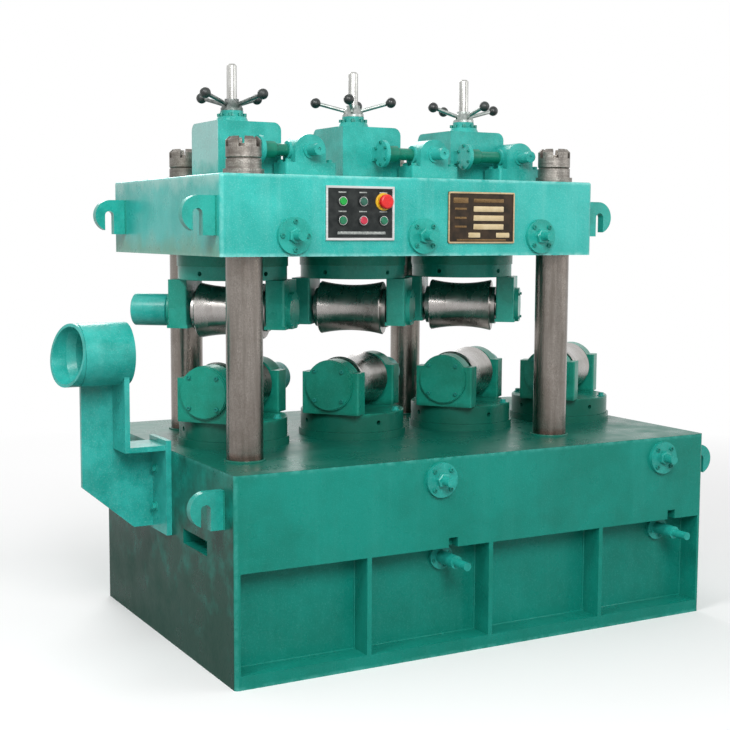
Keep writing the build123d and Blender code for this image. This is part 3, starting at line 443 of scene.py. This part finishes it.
def makeWheel(name, stationX, armKind):  # bare arms and hub with black ball knobs
    material, tree, shader, vector = newMaterial(name)
    metal = placeSteel(tree, vector, armKind, (60, 60, 60))
    place = splitVector(tree, addLocal(tree, vector, (stationX, 0, 0), 0))
    knob = addRange(tree, addReach(tree, place[0], place[1]), knobs["from"], knobs["to"])
    dust = addRange(tree, addNoise(tree, vector, 60.0, 3.0), 0.4, 0.7, 0.0, 0.5)
    ball = addMix(tree, dust, knobs["colour"], knobs["dust"])
    feed(tree, shader, {"Base Color": addMix(tree, knob, metal["Colour"], ball),
                        "Roughness": metal["Roughness"], "Metallic": addMath(tree, "SUBTRACT", 1.0, knob)})
    joinBump(tree, shader, metal["Height"], 0.3, 0.0004)
    return material


def makeSpindle(name):  # ground rod with the fine bands of its thread
    material, tree, shader, vector = newMaterial(name)
    metal = placeSteel(tree, vector, "spindle", (60, 60, 8))
    feed(tree, shader, {"Base Color": metal["Colour"], "Roughness": metal["Roughness"], "Metallic": 1.0})
    thread = addNode(tree, "ShaderNodeTexWave", wave_type="BANDS", bands_direction="Z",
                     Scale=threadBands["scale"], Distortion=threadBands["waver"])
    tree.links.new(vector, thread.inputs["Vector"])
    joinBump(tree, shader, thread.outputs["Fac"], 0.10, 0.0005)
    return material


def makePlastic(name, colour, dark, roughness=0.22, scale=70.0, specular=0.5):
    material, tree, shader, vector = newMaterial(name)
    haze = addRange(tree, addNoise(tree, vector, scale, 4.0), 0.35, 0.7)
    feed(tree, shader, {"Base Color": addMix(tree, haze, colour, dark), "Specular IOR Level": specular,
                        "Roughness": addRange(tree, haze, 0.0, 1.0, roughness, roughness + 0.14)})
    joinBump(tree, shader, haze, 0.15, 0.0002)
    return material


paintFor = {
    # painted highlight on the beam's left end; painted shade on the base's top and left end
    "beam": makePaint("beamEnamel", "beam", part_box("crosshead_beam"), 0.011, laid=("oliveEnd", "glareEnd")),
    "base": makePaint("baseEnamel", "base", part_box("base_frame"), 0.012, laid=("oilAndShadeTop", "shadedEnd")),
    "table": makePaint("tableEnamel", "table", laid=("oilyTable",)),
    "yoke": makePaint("yokeEnamel", "yoke"),
    "casting": makePaint("castingEnamel", "casting", bump=0.9),
    "fitting": makePaint("fittingEnamel", "fitting"),
    "weld": makePaint("weldEnamel", "base", bump=0.9),
    "tube": makePaint("tubeEnamel", "tube"),
}
columnSteel = makeSteel("columnSteel", "column", (46, 46, 3.5), bump=0.35, laid=("footRust",))
nutSteel = makeSteel("nutSteel", "nut", (12, 12, 150), bump=0.6)
screwPaint = makePaint("screwEnamel", "screw")
aluminium = makeSteel("brushedAluminium", "aluminium", (12, 12, 260))
brass = makeSteel("plateBrass", "brass", (16, 16, 220))
brassDull = makeSteel("plateBrassDull", "brassDull", (260, 260, 260))
plateBrown = makePlastic("plateBrown", (0.022, 0.017, 0.012), (0.052, 0.034, 0.022), 0.45, 40.0, 0.15)
fieldCream = makePlastic("fieldCream", (0.62, 0.50, 0.30), (0.50, 0.38, 0.20), 0.4, 30.0)
labelPale = makePlastic("labelPale", (0.40, 0.42, 0.40), (0.16, 0.18, 0.17), 0.4, 220.0)
buttonPlastics = {
    "push_button_1": makePlastic("litGreen", (0.004, 0.36, 0.045), (0.006, 0.24, 0.035)),
    "push_button_2": makePlastic("smokedGreen", (0.008, 0.060, 0.038), (0.020, 0.12, 0.080)),
    "push_button_3": makePlastic("deepGreen", (0.006, 0.20, 0.085), (0.010, 0.13, 0.060)),
    "push_button_4": makePlastic("roseRed", (0.58, 0.035, 0.075), (0.42, 0.020, 0.045)),
    "push_button_5": makePlastic("midGreen", (0.006, 0.19, 0.090), (0.010, 0.12, 0.065)),
    "emergency_stop": makePlastic("signalRed", (0.70, 0.020, 0.018), (0.52, 0.012, 0.012)),
}
stopYellow = makePlastic("signalYellow", (0.78, 0.46, 0.02), (0.60, 0.33, 0.02))
panelFace = {"rim": 0.0062, "fade": 0.0004, "dark": (0.010, 0.013, 0.013), "dust": (0.030, 0.034, 0.033)}


def makePanelFace():  # bare metal rim round a dark plate
    material, tree, shader, vector = newMaterial("panelFace")
    metal = placeSteel(tree, vector, "aluminium", (12, 12, 260))
    low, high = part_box("control_panel")
    place = splitVector(tree, vector)
    sides = []
    for index in (0, 2):
        centre, half = (low[index] + high[index]) / 2, (high[index] - low[index]) / 2 - panelFace["rim"]
        away = addMath(tree, "ABSOLUTE", addMath(tree, "SUBTRACT", place[index], centre))
        sides.append(addRange(tree, away, half, half - panelFace["fade"]))
    inner = addMath(tree, "MULTIPLY", *sides)
    dust = addRange(tree, addNoise(tree, vector, 45.0, 4.0), 0.35, 0.7)
    plate = addMix(tree, dust, panelFace["dark"], panelFace["dust"])
    feed(tree, shader, {"Base Color": addMix(tree, inner, metal["Colour"], plate),
                        "Roughness": metal["Roughness"], "Specular IOR Level": 0.2,
                        "Metallic": addMath(tree, "SUBTRACT", 1.0, inner)})
    joinBump(tree, shader, metal["Height"], 0.2, 0.0003)
    return material


# a material for every CAD node
dressing = {
    "base_frame": paintFor["base"], "crosshead_beam": paintFor["beam"], "front_columns": columnSteel,
    "rear_columns": columnSteel, "column_nuts": nutSteel, "control_panel": makePanelFace(),
    "nameplate": plateBrown, "lower_rings": paintFor["table"], "upper_rings": paintFor["table"],
    "guide_bracket": paintFor["casting"], "entry_guide": paintFor["casting"],
    "angle_blocks": paintFor["casting"], "lifting_hooks": paintFor["fitting"],
    "beam_adjusters": paintFor["fitting"], "base_adjusters": paintFor["fitting"],
    "worm_shafts": paintFor["tube"], **buttonPlastics,
}
for number, stationX in enumerate(stations, start=1):
    dressing[f"lower_table_{number}"] = paintFor["table"]
    dressing[f"lower_roll_{number}"] = makeRoll(f"lowerRollSteel{number}", "lowerRoll", stationX, lowerRollZ,
                                                rollSkew)
spindleSteel = makeSpindle("spindleSteel")
wheelKinds = ("screw", "arm", "arm")  # the first is the most worn
for number, stationX in enumerate(upperStations, start=1):
    dressing[f"upper_yoke_{number}"] = paintFor["yoke"]
    dressing[f"upper_roll_{number}"] = makeRoll(f"upperRollSteel{number}", "upperRoll", stationX, upperRollZ,
                                                180 - rollSkew)
    # each gearbox carries the painted glare film, which only reaches the first one's left side
    dressing[f"screw_gearbox_{number}"] = makePaint(
        f"gearboxEnamel{number}", "casting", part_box(f"screw_gearbox_{number}"), 0.007, bump=0.9,
        laid=("glareSide",), housingStart=stationX + housing["starts"][number - 1])
    dressing[f"screw_spindle_{number}"] = spindleSteel
    dressing[f"handwheel_{number}"] = makeWheel(f"wheelSteel{number}", stationX, wheelKinds[number - 1])
for node, material in dressing.items():
    if not nodes[node].material_slots:
        nodes[node].data.materials.append(material)
    for materialSlot in nodes[node].material_slots:
        materialSlot.material = material
print("stage: nodes dressed")


# modelling helpers
def clearSelection():
    if bpy.context.object and bpy.context.object.mode != "OBJECT":
        bpy.ops.object.mode_set(mode="OBJECT")
    bpy.ops.object.select_all(action="DESELECT")


def pickFaces(piece, test):  # leaves the piece in edit mode with the faces that pass the test selected
    bpy.ops.object.mode_set(mode="EDIT")
    bpy.ops.mesh.select_mode(type="FACE")
    bpy.ops.mesh.select_all(action="DESELECT")
    bpy.ops.object.mode_set(mode="OBJECT")
    for face in piece.data.polygons:
        face.select = test(face)
    bpy.ops.object.mode_set(mode="EDIT")


def pickEdges(piece, test):  # test takes the two end points
    bpy.ops.object.mode_set(mode="EDIT")
    bpy.ops.mesh.select_mode(type="EDGE")
    bpy.ops.mesh.select_all(action="DESELECT")
    bpy.ops.object.mode_set(mode="OBJECT")
    points = piece.data.vertices
    for edge in piece.data.edges:
        edge.select = test(points[edge.vertices[0]].co, points[edge.vertices[1]].co)
    bpy.ops.object.mode_set(mode="EDIT")


def finishShape(piece, material, angle=35):
    bpy.ops.object.mode_set(mode="OBJECT")
    bpy.ops.object.transform_apply(location=True, rotation=True, scale=True)
    bpy.ops.object.shade_smooth_by_angle(angle=math.radians(angle))
    piece.data.materials.clear()
    piece.data.materials.append(material)
    return piece


def joinPieces(pieces, name):
    clearSelection()
    for piece in pieces:
        piece.select_set(True)
    bpy.context.view_layer.objects.active = pieces[0]
    if len(pieces) > 1:
        bpy.ops.object.join()
    joined = bpy.context.view_layer.objects.active
    joined.name = name
    joined.data.name = name
    return joined


def copiesAt(master, name, spots):  # each copy has its own mesh, then all are joined
    made = []
    for spot in spots:
        mesh = master.data.copy()
        mesh.transform(spot)
        copy = bpy.data.objects.new(name, mesh)
        bpy.context.scene.collection.objects.link(copy)
        made.append(copy)
    return joinPieces(made, name)


def facing(place, outward, turn=0.0):
    aim = Vector(outward).to_track_quat("Z", "Y").to_matrix().to_4x4()
    return Matrix.Translation(Vector(place)) @ aim @ Matrix.Rotation(math.radians(turn), 4, "Z")


def ringOf(place, outward, radius, start, count=4):  # spots evenly round a centre, each facing outward
    base = facing(place, outward)
    spots = []
    for index in range(count):
        turn = math.radians(start + 360 / count * index)
        spots.append(base @ Matrix.Translation((radius * math.cos(turn), radius * math.sin(turn), 0)))
    return spots


def keep(piece, body="stand"):
    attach(piece, body)


def addCylinder(name, sides, radius, height, base=0.0):  # standing on the height of its base
    clearSelection()
    bpy.ops.mesh.primitive_cylinder_add(vertices=sides, radius=radius, depth=height,
                                        location=(0, 0, base + height / 2))
    piece = bpy.context.object
    piece.name = name
    bpy.ops.object.transform_apply(location=True, rotation=False, scale=False)
    return piece


def makeRingShape(name, outer, inner, height, bevel, material, sides=40):
    piece = addCylinder(name, sides, outer, height)
    pickFaces(piece, lambda face: abs(face.normal.z) > 0.9)
    bpy.ops.mesh.inset(thickness=outer - inner, use_even_offset=False)
    bpy.ops.mesh.bridge_edge_loops()
    pickEdges(piece, lambda a, b: abs(a.z - height) < hair and abs(a.z - b.z) < hair
              and abs(a.xy.length - b.xy.length) < hair)  # both rims of the top
    bpy.ops.mesh.bevel(offset=bevel, segments=2)
    return finishShape(piece, material)


headShape = {"washerEdge": 0.3, "capEdge": 0.16, "socket": (0.3, -0.5), "hexChamfer": (0.14, 0.12),
             "hexDish": (0.25, -0.06), "nutChamfer": (0.13, 0.15), "nutCone": (0.2, 0.25)}  # shares of the size


def facesUp(face):
    return face.normal.z > 0.9


def stepFaces(spec, step, extrude=False):  # insets the picked faces and lifts them
    inward, rise = headShape[step]
    bpy.ops.mesh.inset(thickness=spec["head"] * inward)
    lift = (0, 0, spec["height"] * rise)
    if extrude:
        bpy.ops.mesh.extrude_region_move(TRANSFORM_OT_translate={"value": lift})
    else:
        bpy.ops.transform.translate(value=lift)


def makeHexBolt(name, spec, material):
    washer = addCylinder(name, 20, spec["washer"], spec["washerHeight"])
    pickFaces(washer, facesUp)
    bpy.ops.mesh.bevel(offset=spec["washerHeight"] * headShape["washerEdge"], segments=1)
    finishShape(washer, material)
    head = addCylinder(name, 6, spec["head"], spec["height"], spec["washerHeight"])
    pickFaces(head, facesUp)
    stepFaces(spec, "hexChamfer")
    stepFaces(spec, "hexDish")
    finishShape(head, material, 25)
    return joinPieces([washer, head], name)


def makeCapScrew(name, spec, material):
    piece = addCylinder(name, 18, spec["head"], spec["height"])
    pickFaces(piece, facesUp)
    bpy.ops.mesh.bevel(offset=spec["head"] * headShape["capEdge"], segments=2)
    pickFaces(piece, lambda face: face.normal.z > 0.99 and face.area > spec["head"] ** 2)
    stepFaces(spec, "socket", True)
    return finishShape(piece, material, 30)


def makeLockNut(name, spec, material):
    piece = addCylinder(name, 6, spec["head"], spec["height"])
    pickFaces(piece, facesUp)
    stepFaces(spec, "nutChamfer")
    stepFaces(spec, "nutCone", True)
    return finishShape(piece, material, 25)


# bolts of the round adjuster flanges, and the lock nuts on their stubs
adjusters = {"boltCircle": 0.038, "bayCircle": 0.0285, "shift": -0.008, "beamZ": 1.195, "baseZ": 0.512,
             "bayZ": 0.272, "bayShift": 0.045, "flange": 0.012, "sides": (1, -1, 1, -1),
             "beamTurns": (0, 45, 45), "baseTurn": 45, "bayTurn": 20, "beamNutTurn": 12, "baseNutTurn": 20,
             "bolt": {"head": 0.0066, "height": 0.0052}, "bayBolt": {"head": 0.0048, "height": 0.004},
             "nut": {"head": 0.0215, "height": 0.011}}
adjusterBolt = makeCapScrew("adjusterBoltMaster", adjusters["bolt"], screwPaint)
bayBolt = makeCapScrew("bayBoltMaster", adjusters["bayBolt"], screwPaint)
stubNut = makeLockNut("stubNutMaster", adjusters["nut"], paintFor["fitting"])
boltSpots, nutSpots, baySpots = [], [], []
for index, stationX in enumerate(upperStations):
    centre = (stationX + adjusters["shift"], beamFront - adjusters["flange"], adjusters["beamZ"])
    boltSpots += ringOf(centre, (0, -1, 0), adjusters["boltCircle"], adjusters["beamTurns"][index])
    nutSpots.append(facing(centre, (0, -1, 0), adjusters["beamNutTurn"] * index))
for index, side in enumerate(adjusters["sides"]):
    centre = (stations[index], side * (baseSide + adjusters["flange"]), adjusters["baseZ"])
    boltSpots += ringOf(centre, (0, side, 0), adjusters["boltCircle"], adjusters["baseTurn"])
    nutSpots.append(facing(centre, (0, side, 0), adjusters["baseNutTurn"] * index))
    bayCentre = (stations[index] + adjusters["bayShift"], side * (bayWall + adjusters["flange"]),
                 adjusters["bayZ"])
    baySpots += ringOf(bayCentre, (0, side, 0), adjusters["bayCircle"], adjusters["bayTurn"])
keep(copiesAt(adjusterBolt, "adjuster_flange_bolts", boltSpots))
keep(copiesAt(bayBolt, "bay_flange_bolts", baySpots))
keep(copiesAt(stubNut, "adjuster_lock_nuts", nutSpots))
print("stage: adjusters")

# screws of the bearing covers and bolts of the tables, riding on their tables and yokes
covers = {"faceAt": 0.190, "lowerCircle": 0.063, "upperCircle": 0.0528, "turn": 45,
          "lowerScrew": {"head": 0.0062, "height": 0.006}, "upperScrew": {"head": 0.0040, "height": 0.0045}}
tables = {"circle": 0.146, "top": 0.6543,
          "bolt": {"head": 0.0095, "height": 0.008, "washer": 0.0135, "washerHeight": 0.0022}}
coverScrews = {"lower": makeCapScrew("coverScrewMaster", covers["lowerScrew"], screwPaint),
               "upper": makeCapScrew("upperCoverScrewMaster", covers["upperScrew"], screwPaint)}
tableBolt = makeHexBolt("tableBoltMaster", tables["bolt"], paintFor["fitting"])


def axisOf(angle):
    return Vector((math.cos(math.radians(angle)), math.sin(math.radians(angle)), 0))


def dressBearings(number, stationX, height, angle, label, body):
    axis = axisOf(angle)
    spots = []
    for sign in (-1, 1):
        centre = Vector((stationX, 0, height)) + axis * sign * covers["faceAt"]
        spots += ringOf(centre, axis * sign, covers[label + "Circle"], covers["turn"])
    keep(copiesAt(coverScrews[label], f"{label}_cover_screws_{number}", spots), body)


for number, stationX in enumerate(stations, start=1):
    dressBearings(number, stationX, lowerRollZ, rollSkew, "lower", f"lower_table_body_{number}")
    spots = []
    for turn in (rollSkew - 90, rollSkew + 90):
        out = axisOf(turn) * tables["circle"]
        spots.append(facing((stationX + out.x, out.y, tables["top"]), (0, 0, 1), turn))
    keep(copiesAt(tableBolt, f"lower_table_bolts_{number}", spots), f"lower_table_body_{number}")
for number, stationX in enumerate(upperStations, start=1):
    dressBearings(number, stationX, upperRollZ, 180 - rollSkew, "upper", f"upper_yoke_body_{number}")
print("stage: bearings")

# screws of the gearbox necks and worm flanges, bolts of the angle blocks
gearing = {"neckCircle": 0.0388, "neckHeight": 0.036, "neckLedge": 0.018, "neckTurn": 15,
           "flangeCircle": 0.0325, "flangeTurn": 30, "flangeOffsets": (0.012, 0.012, -0.098),
           "blockOffsets": (0.161, 0.175, 0.086),
           "footRise": 0.046, "footReach": 0.066, "footDepths": (-0.030, 0.022), "footTurn": 25,
           "neckScrew": {"head": 0.0050, "height": 0.0105}, "flangeScrew": {"head": 0.0046, "height": 0.0050},
           "footBolt": {"head": 0.0088, "height": 0.0072, "washer": 0.0125, "washerHeight": 0.002}}
neckScrew = makeCapScrew("neckScrewMaster", gearing["neckScrew"], screwPaint)
flangeScrew = makeCapScrew("flangeScrewMaster", gearing["flangeScrew"], screwPaint)
footBolt = makeHexBolt("footBoltMaster", gearing["footBolt"], paintFor["fitting"])
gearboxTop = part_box("screw_gearbox_2")[1].z - gearing["neckHeight"]
neckSpots, flangeSpots, footSpots = [], [], []
for index, stationX in enumerate(upperStations):
    neckSpots += ringOf((stationX, 0, gearboxTop + gearing["neckLedge"]), (0, 0, 1), gearing["neckCircle"],
                        gearing["neckTurn"], 8)
    centre = (stationX + gearing["flangeOffsets"][index], wormY, wormZ)
    flangeSpots += ringOf(centre, (-1, 0, 0), gearing["flangeCircle"], gearing["flangeTurn"], 6)
    blockX = stationX + gearing["blockOffsets"][index]
    for side in (-1, 1):
        for depth in gearing["footDepths"]:
            place = (blockX + side * gearing["footReach"], wormY + depth, beamTop + gearing["footRise"])
            footSpots.append(facing(place, (0, 0, 1), gearing["footTurn"] * side))
keep(copiesAt(neckScrew, "neck_cap_screws", neckSpots))
keep(copiesAt(flangeScrew, "worm_flange_screws", flangeSpots))
keep(copiesAt(footBolt, "angle_block_bolts", footSpots))
print("stage: gearing screws")

# collars round the column feet
collars = {"columns": [(-0.682, -0.318), (0.358, -0.318), (-0.605, 0.318), (0.205, 0.318)],
           "ring": {"outer": 0.0585, "inner": 0.0512, "height": 0.0055, "bevel": 0.0018, "sides": 48}}
collar = makeRingShape("collarMaster", material=paintFor["table"], **collars["ring"])
collarSpots = [Matrix.Translation((x, y, baseTop)) for x, y in collars["columns"]]
keep(copiesAt(collar, "column_foot_collars", collarSpots))

# weld beads in the bays and at the hooks
welds = {"radius": 0.0042, "ripple": 0.006, "dip": 0.72, "bayLow": 0.038, "bayHigh": 0.313, "pitch": 0.4025,
         "endWall": 0.016, "halfRib": 0.007, "hookLength": 0.104, "hookSide": 0.013,
         "beamHookZ": 1.247, "baseHookZ": 0.473,
         "beamHooks": [(-0.799, -0.394), (-0.799, 0.338), (0.417, -0.394), (0.417, 0.338)],
         "baseHooks": [(-0.805, -0.450), (-0.805, 0.450), (0.805, -0.450), (0.805, 0.450)]}
beads = []


def layBead(length, place, matrix=Matrix.Identity(4)):  # made along X in small ripples, then laid in place
    clearSelection()
    bpy.ops.mesh.primitive_cylinder_add(vertices=8, radius=welds["radius"], depth=length,
                                        rotation=(0, math.pi / 2, 0))
    bead = bpy.context.object
    bpy.ops.object.transform_apply(location=True, rotation=True, scale=True)
    cuts = max(3, int(length / welds["ripple"]))
    pickEdges(bead, lambda a, b: abs(a.x - b.x) > length * 0.5)
    bpy.ops.mesh.subdivide(number_cuts=cuts)
    bpy.ops.mesh.select_all(action="DESELECT")
    bpy.ops.object.mode_set(mode="OBJECT")
    for point in bead.data.vertices:
        point.select = round((point.co.x / length + 0.5) * (cuts + 1)) % 2 == 1
    bpy.ops.object.mode_set(mode="EDIT")
    bpy.ops.mesh.select_mode(type="VERT")
    bpy.ops.transform.resize(value=(1, welds["dip"], welds["dip"]))
    finishShape(bead, paintFor["weld"], 60)
    bead.data.transform(Matrix.Translation(place) @ matrix)
    beads.append(bead)


upright = Matrix.Rotation(math.pi / 2, 4, "Y")
bayTall, bayMiddle = welds["bayHigh"] - welds["bayLow"], (welds["bayLow"] + welds["bayHigh"]) / 2
for side in (-1, 1):
    for index in range(4):
        left = -baseEnd + welds["pitch"] * index
        low = left + (welds["endWall"] if index == 0 else welds["halfRib"])
        high = left + welds["pitch"] - (welds["endWall"] if index == 3 else welds["halfRib"])
        for x in (low, high):
            layBead(bayTall, (x, side * bayWall, bayMiddle), upright)
        layBead(high - low, ((low + high) / 2, side * bayWall, welds["bayLow"]))
for level in ("beam", "base"):
    for x, y in welds[level + "Hooks"]:
        for side in (-1, 1):
            layBead(welds["hookLength"], (x, y + side * welds["hookSide"], welds[level + "HookZ"]), upright)
keep(joinPieces(beads, "weld_beads"))
print("stage: collars and welds")

# bolts of the guide bracket's mounting plate
bracket = {"faceX": -0.821, "spots": [(0.017, 0.511), (0.018, 0.397)], "turn": 10,
           "bolt": {"head": 0.0105, "height": 0.009, "washer": 0.015, "washerHeight": 0.0025}}
bracketBolt = makeHexBolt("bracketBoltMaster", bracket["bolt"], paintFor["fitting"])
bracketSpots = [facing((bracket["faceX"], y, z), (-1, 0, 0), bracket["turn"] * index)
                for index, (y, z) in enumerate(bracket["spots"])]
keep(copiesAt(bracketBolt, "bracket_bolts", bracketSpots))

# control panel: rings round the buttons, blank label strips
panel = {"x": -0.386, "z": 1.257, "face": beamFront - 0.004, "columns": (-0.056, 0.008, 0.072),
         "rows": (0.032, -0.020), "stopAt": (0.072, 0.032), "labelThick": 0.0006, "labelEase": 0.0004,
         "label": (0.024, 0.0034), "labelRise": 0.0245, "title": (0.150, 0.0075), "titleAt": (0.004, -0.054),
         "lensRing": {"outer": 0.0132, "inner": 0.0108, "height": 0.0052, "bevel": 0.001},
         "stopRing": {"outer": 0.0245, "inner": 0.0146, "height": 0.0042, "bevel": 0.0012}}
lensRing = makeRingShape("lensRingMaster", material=aluminium, **panel["lensRing"])
stopRing = makeRingShape("stopRingMaster", material=stopYellow, **panel["stopRing"])


def onPanel(offset, proud=0.0):  # a spot on the panel's face
    return (panel["x"] + offset[0], panel["face"] - proud, panel["z"] + offset[1])


buttonOffsets = [(column, row) for row in panel["rows"] for column in panel["columns"]]
ringSpots = [facing(onPanel(offset), (0, -1, 0)) for offset in buttonOffsets if offset != panel["stopAt"]]
keep(copiesAt(lensRing, "button_lens_rings", ringSpots))
keep(copiesAt(stopRing, "stop_button_ring", [facing(onPanel(panel["stopAt"]), (0, -1, 0))]))


plateShape = {"corner": 0.12, "rise": 0.6}  # shares of the narrower side and of the ease


def addSlab(name, width, height, thick, corner):  # a thin slab facing the front, with rounded corners
    clearSelection()
    bpy.ops.mesh.primitive_cube_add(size=1, scale=(width, thick, height))
    piece = bpy.context.object
    piece.name = name
    bpy.ops.object.transform_apply(location=False, rotation=False, scale=True)
    pickEdges(piece, lambda a, b: abs(a.y - b.y) > thick / 2)
    bpy.ops.mesh.bevel(offset=corner, segments=3)
    return piece


def makePlate(name, width, height, thick, material, ease):  # its front edges eased
    piece = addSlab(name, width, height, thick, min(width, height) * plateShape["corner"])
    pickFaces(piece, lambda face: face.normal.y < -0.9)
    bpy.ops.mesh.inset(thickness=ease)
    bpy.ops.transform.translate(value=(0, -ease * plateShape["rise"], 0))
    return finishShape(piece, material)


thick, ease = panel["labelThick"], panel["labelEase"]
label = makePlate("labelMaster", *panel["label"], thick, labelPale, ease)
labelSpots = [Matrix.Translation(onPanel((column, row + panel["labelRise"]), thick / 2))
              for column, row in buttonOffsets]
keep(copiesAt(label, "panel_label_strips", labelSpots))
strip = makePlate("stripMaster", *panel["title"], thick, labelPale, ease)
keep(copiesAt(strip, "panel_title_strip", [Matrix.Translation(onPanel(panel["titleAt"], thick / 2))]))

# nameplate: brass border, blank fields and rivets
plate = {"x": 0.014, "z": 1.248, "face": beamFront - 0.003, "width": 0.229, "height": 0.147, "border": 0.0045,
         "borderThick": 0.0016, "corner": 0.004, "rivetReach": (0.1105, 0.0695),
         "rivet": {"head": 0.0024, "height": 0.0018}, "fieldThick": 0.0009, "barThick": 0.0007,
         "fields": [(0.024, 0.025, 0.104, 0.0155), (0.024, -0.001, 0.104, 0.0155),
                    (0.024, -0.026, 0.104, 0.0155), (-0.025, -0.050, 0.040, 0.014),
                    (0.074, -0.050, 0.046, 0.014)],
         "bars": [(-0.072, 0.049, 0.050, 0.016), (0.024, 0.049, 0.104, 0.011), (-0.072, 0.025, 0.040, 0.006),
                  (-0.072, -0.001, 0.040, 0.006), (-0.072, -0.026, 0.040, 0.006),
                  (0.0, -0.064, 0.170, 0.005)]}


def onPlate(dx, dz, proud):  # a spot in front of the nameplate's seat
    return (plate["x"] + dx, plate["face"] - proud, plate["z"] + dz)


def makeBorder(name):
    piece = addSlab(name, plate["width"], plate["height"], plate["borderThick"], plate["corner"])
    pickFaces(piece, lambda face: abs(face.normal.y) > 0.9)
    bpy.ops.mesh.inset(thickness=plate["border"])
    bpy.ops.mesh.bridge_edge_loops()
    finishShape(piece, brass)
    piece.data.transform(Matrix.Translation(onPlate(0, 0, plate["borderThick"] / 2)))
    return piece


def layPlates(name, spots, thick, material, ease):  # each spot has its offset, width and height
    made = []
    for dx, dz, width, height in spots:
        piece = makePlate(name, width, height, thick, material, ease)
        piece.data.transform(Matrix.Translation(onPlate(dx, dz, thick / 2)))
        made.append(piece)
    keep(joinPieces(made, name))


keep(makeBorder("nameplate_border"))
layPlates("nameplate_fields", plate["fields"], plate["fieldThick"], fieldCream, 0.0005)
layPlates("nameplate_blank_bars", plate["bars"], plate["barThick"], brassDull, 0.0004)
rivet = makeCapScrew("rivetMaster", plate["rivet"], brass)
reachX, reachZ = plate["rivetReach"]
rivetSpots = [facing(onPlate(dx, dz, plate["borderThick"]), (0, -1, 0))
              for dx in (-reachX, reachX) for dz in (-reachZ, reachZ)]
keep(copiesAt(rivet, "nameplate_rivets", rivetSpots))
print("stage: panel and nameplate")

for master in [piece for piece in bpy.data.objects if piece.name.endswith("Master")]:
    bpy.data.objects.remove(master)

# floor, backdrop light and lamps
studio = {"floorSize": 40, "floorUnlit": 0.42, "floorSeen": 0.93, "fadeFrom": 1.6, "fadeTo": 4.2,
          "ambient": 0.42, "white": 1.0, "aim": (0, 0, 0.8)}
clearSelection()
bpy.ops.mesh.primitive_plane_add(size=studio["floorSize"], location=(0, 0, 0))
floor = bpy.context.object
floor.name = "floor"
floorMaterial, floorTree, floorShader, floorVector = newMaterial("paleFloor")
floorRays = floorTree.nodes.new("ShaderNodeLightPath")
floorColour = addMix(floorTree, floorRays.outputs["Is Camera Ray"], (studio["floorUnlit"],) * 3,
                     (studio["floorSeen"],) * 3)
feed(floorTree, floorShader, {"Base Color": floorColour, "Roughness": 0.9, "Specular IOR Level": 0.1})
floorSeen = addMath(floorTree, "MAXIMUM", floorRays.outputs["Is Camera Ray"],
                    floorRays.outputs["Is Glossy Ray"])
away = addNode(floorTree, "ShaderNodeVectorMath", operation="LENGTH")
floorTree.links.new(floorVector, away.inputs[0])
farMask = addMarks(floorTree, away.outputs["Value"], studio["fadeFrom"], studio["fadeTo"], floorSeen)
white = addNode(floorTree, "ShaderNodeEmission", Strength=studio["white"])
blend = floorTree.nodes.new("ShaderNodeMixShader")
floorOutput = next(node for node in floorTree.nodes if node.type == "OUTPUT_MATERIAL")
for index, source in enumerate((farMask, floorShader.outputs[0], white.outputs[0])):
    floorTree.links.new(source, blend.inputs[index])
floorTree.links.new(blend.outputs[0], floorOutput.inputs["Surface"])
floor.data.materials.append(floorMaterial)

world = bpy.context.scene.world or bpy.data.worlds.new("studio")
bpy.context.scene.world = world
world.use_nodes = True
worldTree = world.node_tree
backdrop = next(node for node in worldTree.nodes if node.type == "BACKGROUND")
backdrop.inputs["Color"].default_value = (1, 1, 1, 1)
rays = worldTree.nodes.new("ShaderNodeLightPath")
seen = addMath(worldTree, "MAXIMUM", rays.outputs["Is Camera Ray"], rays.outputs["Is Glossy Ray"])
seen = addMath(worldTree, "MAXIMUM", seen, rays.outputs["Is Transmission Ray"])
strength = addRange(worldTree, seen, 0.0, 1.0, studio["ambient"], studio["white"])
worldTree.links.new(strength, backdrop.inputs["Strength"])

lamps = [{"name": "key", "place": (-1.5, -4.1, 3.2), "size": 1.9, "energy": 140},
         {"name": "high left", "place": (-2.6, -1.3, 3.0), "size": 0.9, "energy": 46},
         {"name": "fill right", "place": (3.4, -2.6, 2.4), "size": 2.6, "energy": 36},
         {"name": "behind", "place": (0.5, 3.8, 3.4), "size": 2.4, "energy": 90}]
for lamp in lamps:
    light = bpy.data.lights.new(lamp["name"], "AREA")
    light.size = lamp["size"]
    light.energy = lamp["energy"]
    holder = bpy.data.objects.new(lamp["name"], light)
    bpy.context.scene.collection.objects.link(holder)
    holder.location = lamp["place"]
    aim = Vector(studio["aim"]) - Vector(lamp["place"])
    holder.rotation_euler = aim.to_track_quat("-Z", "Y").to_euler()
print("stage: studio set")
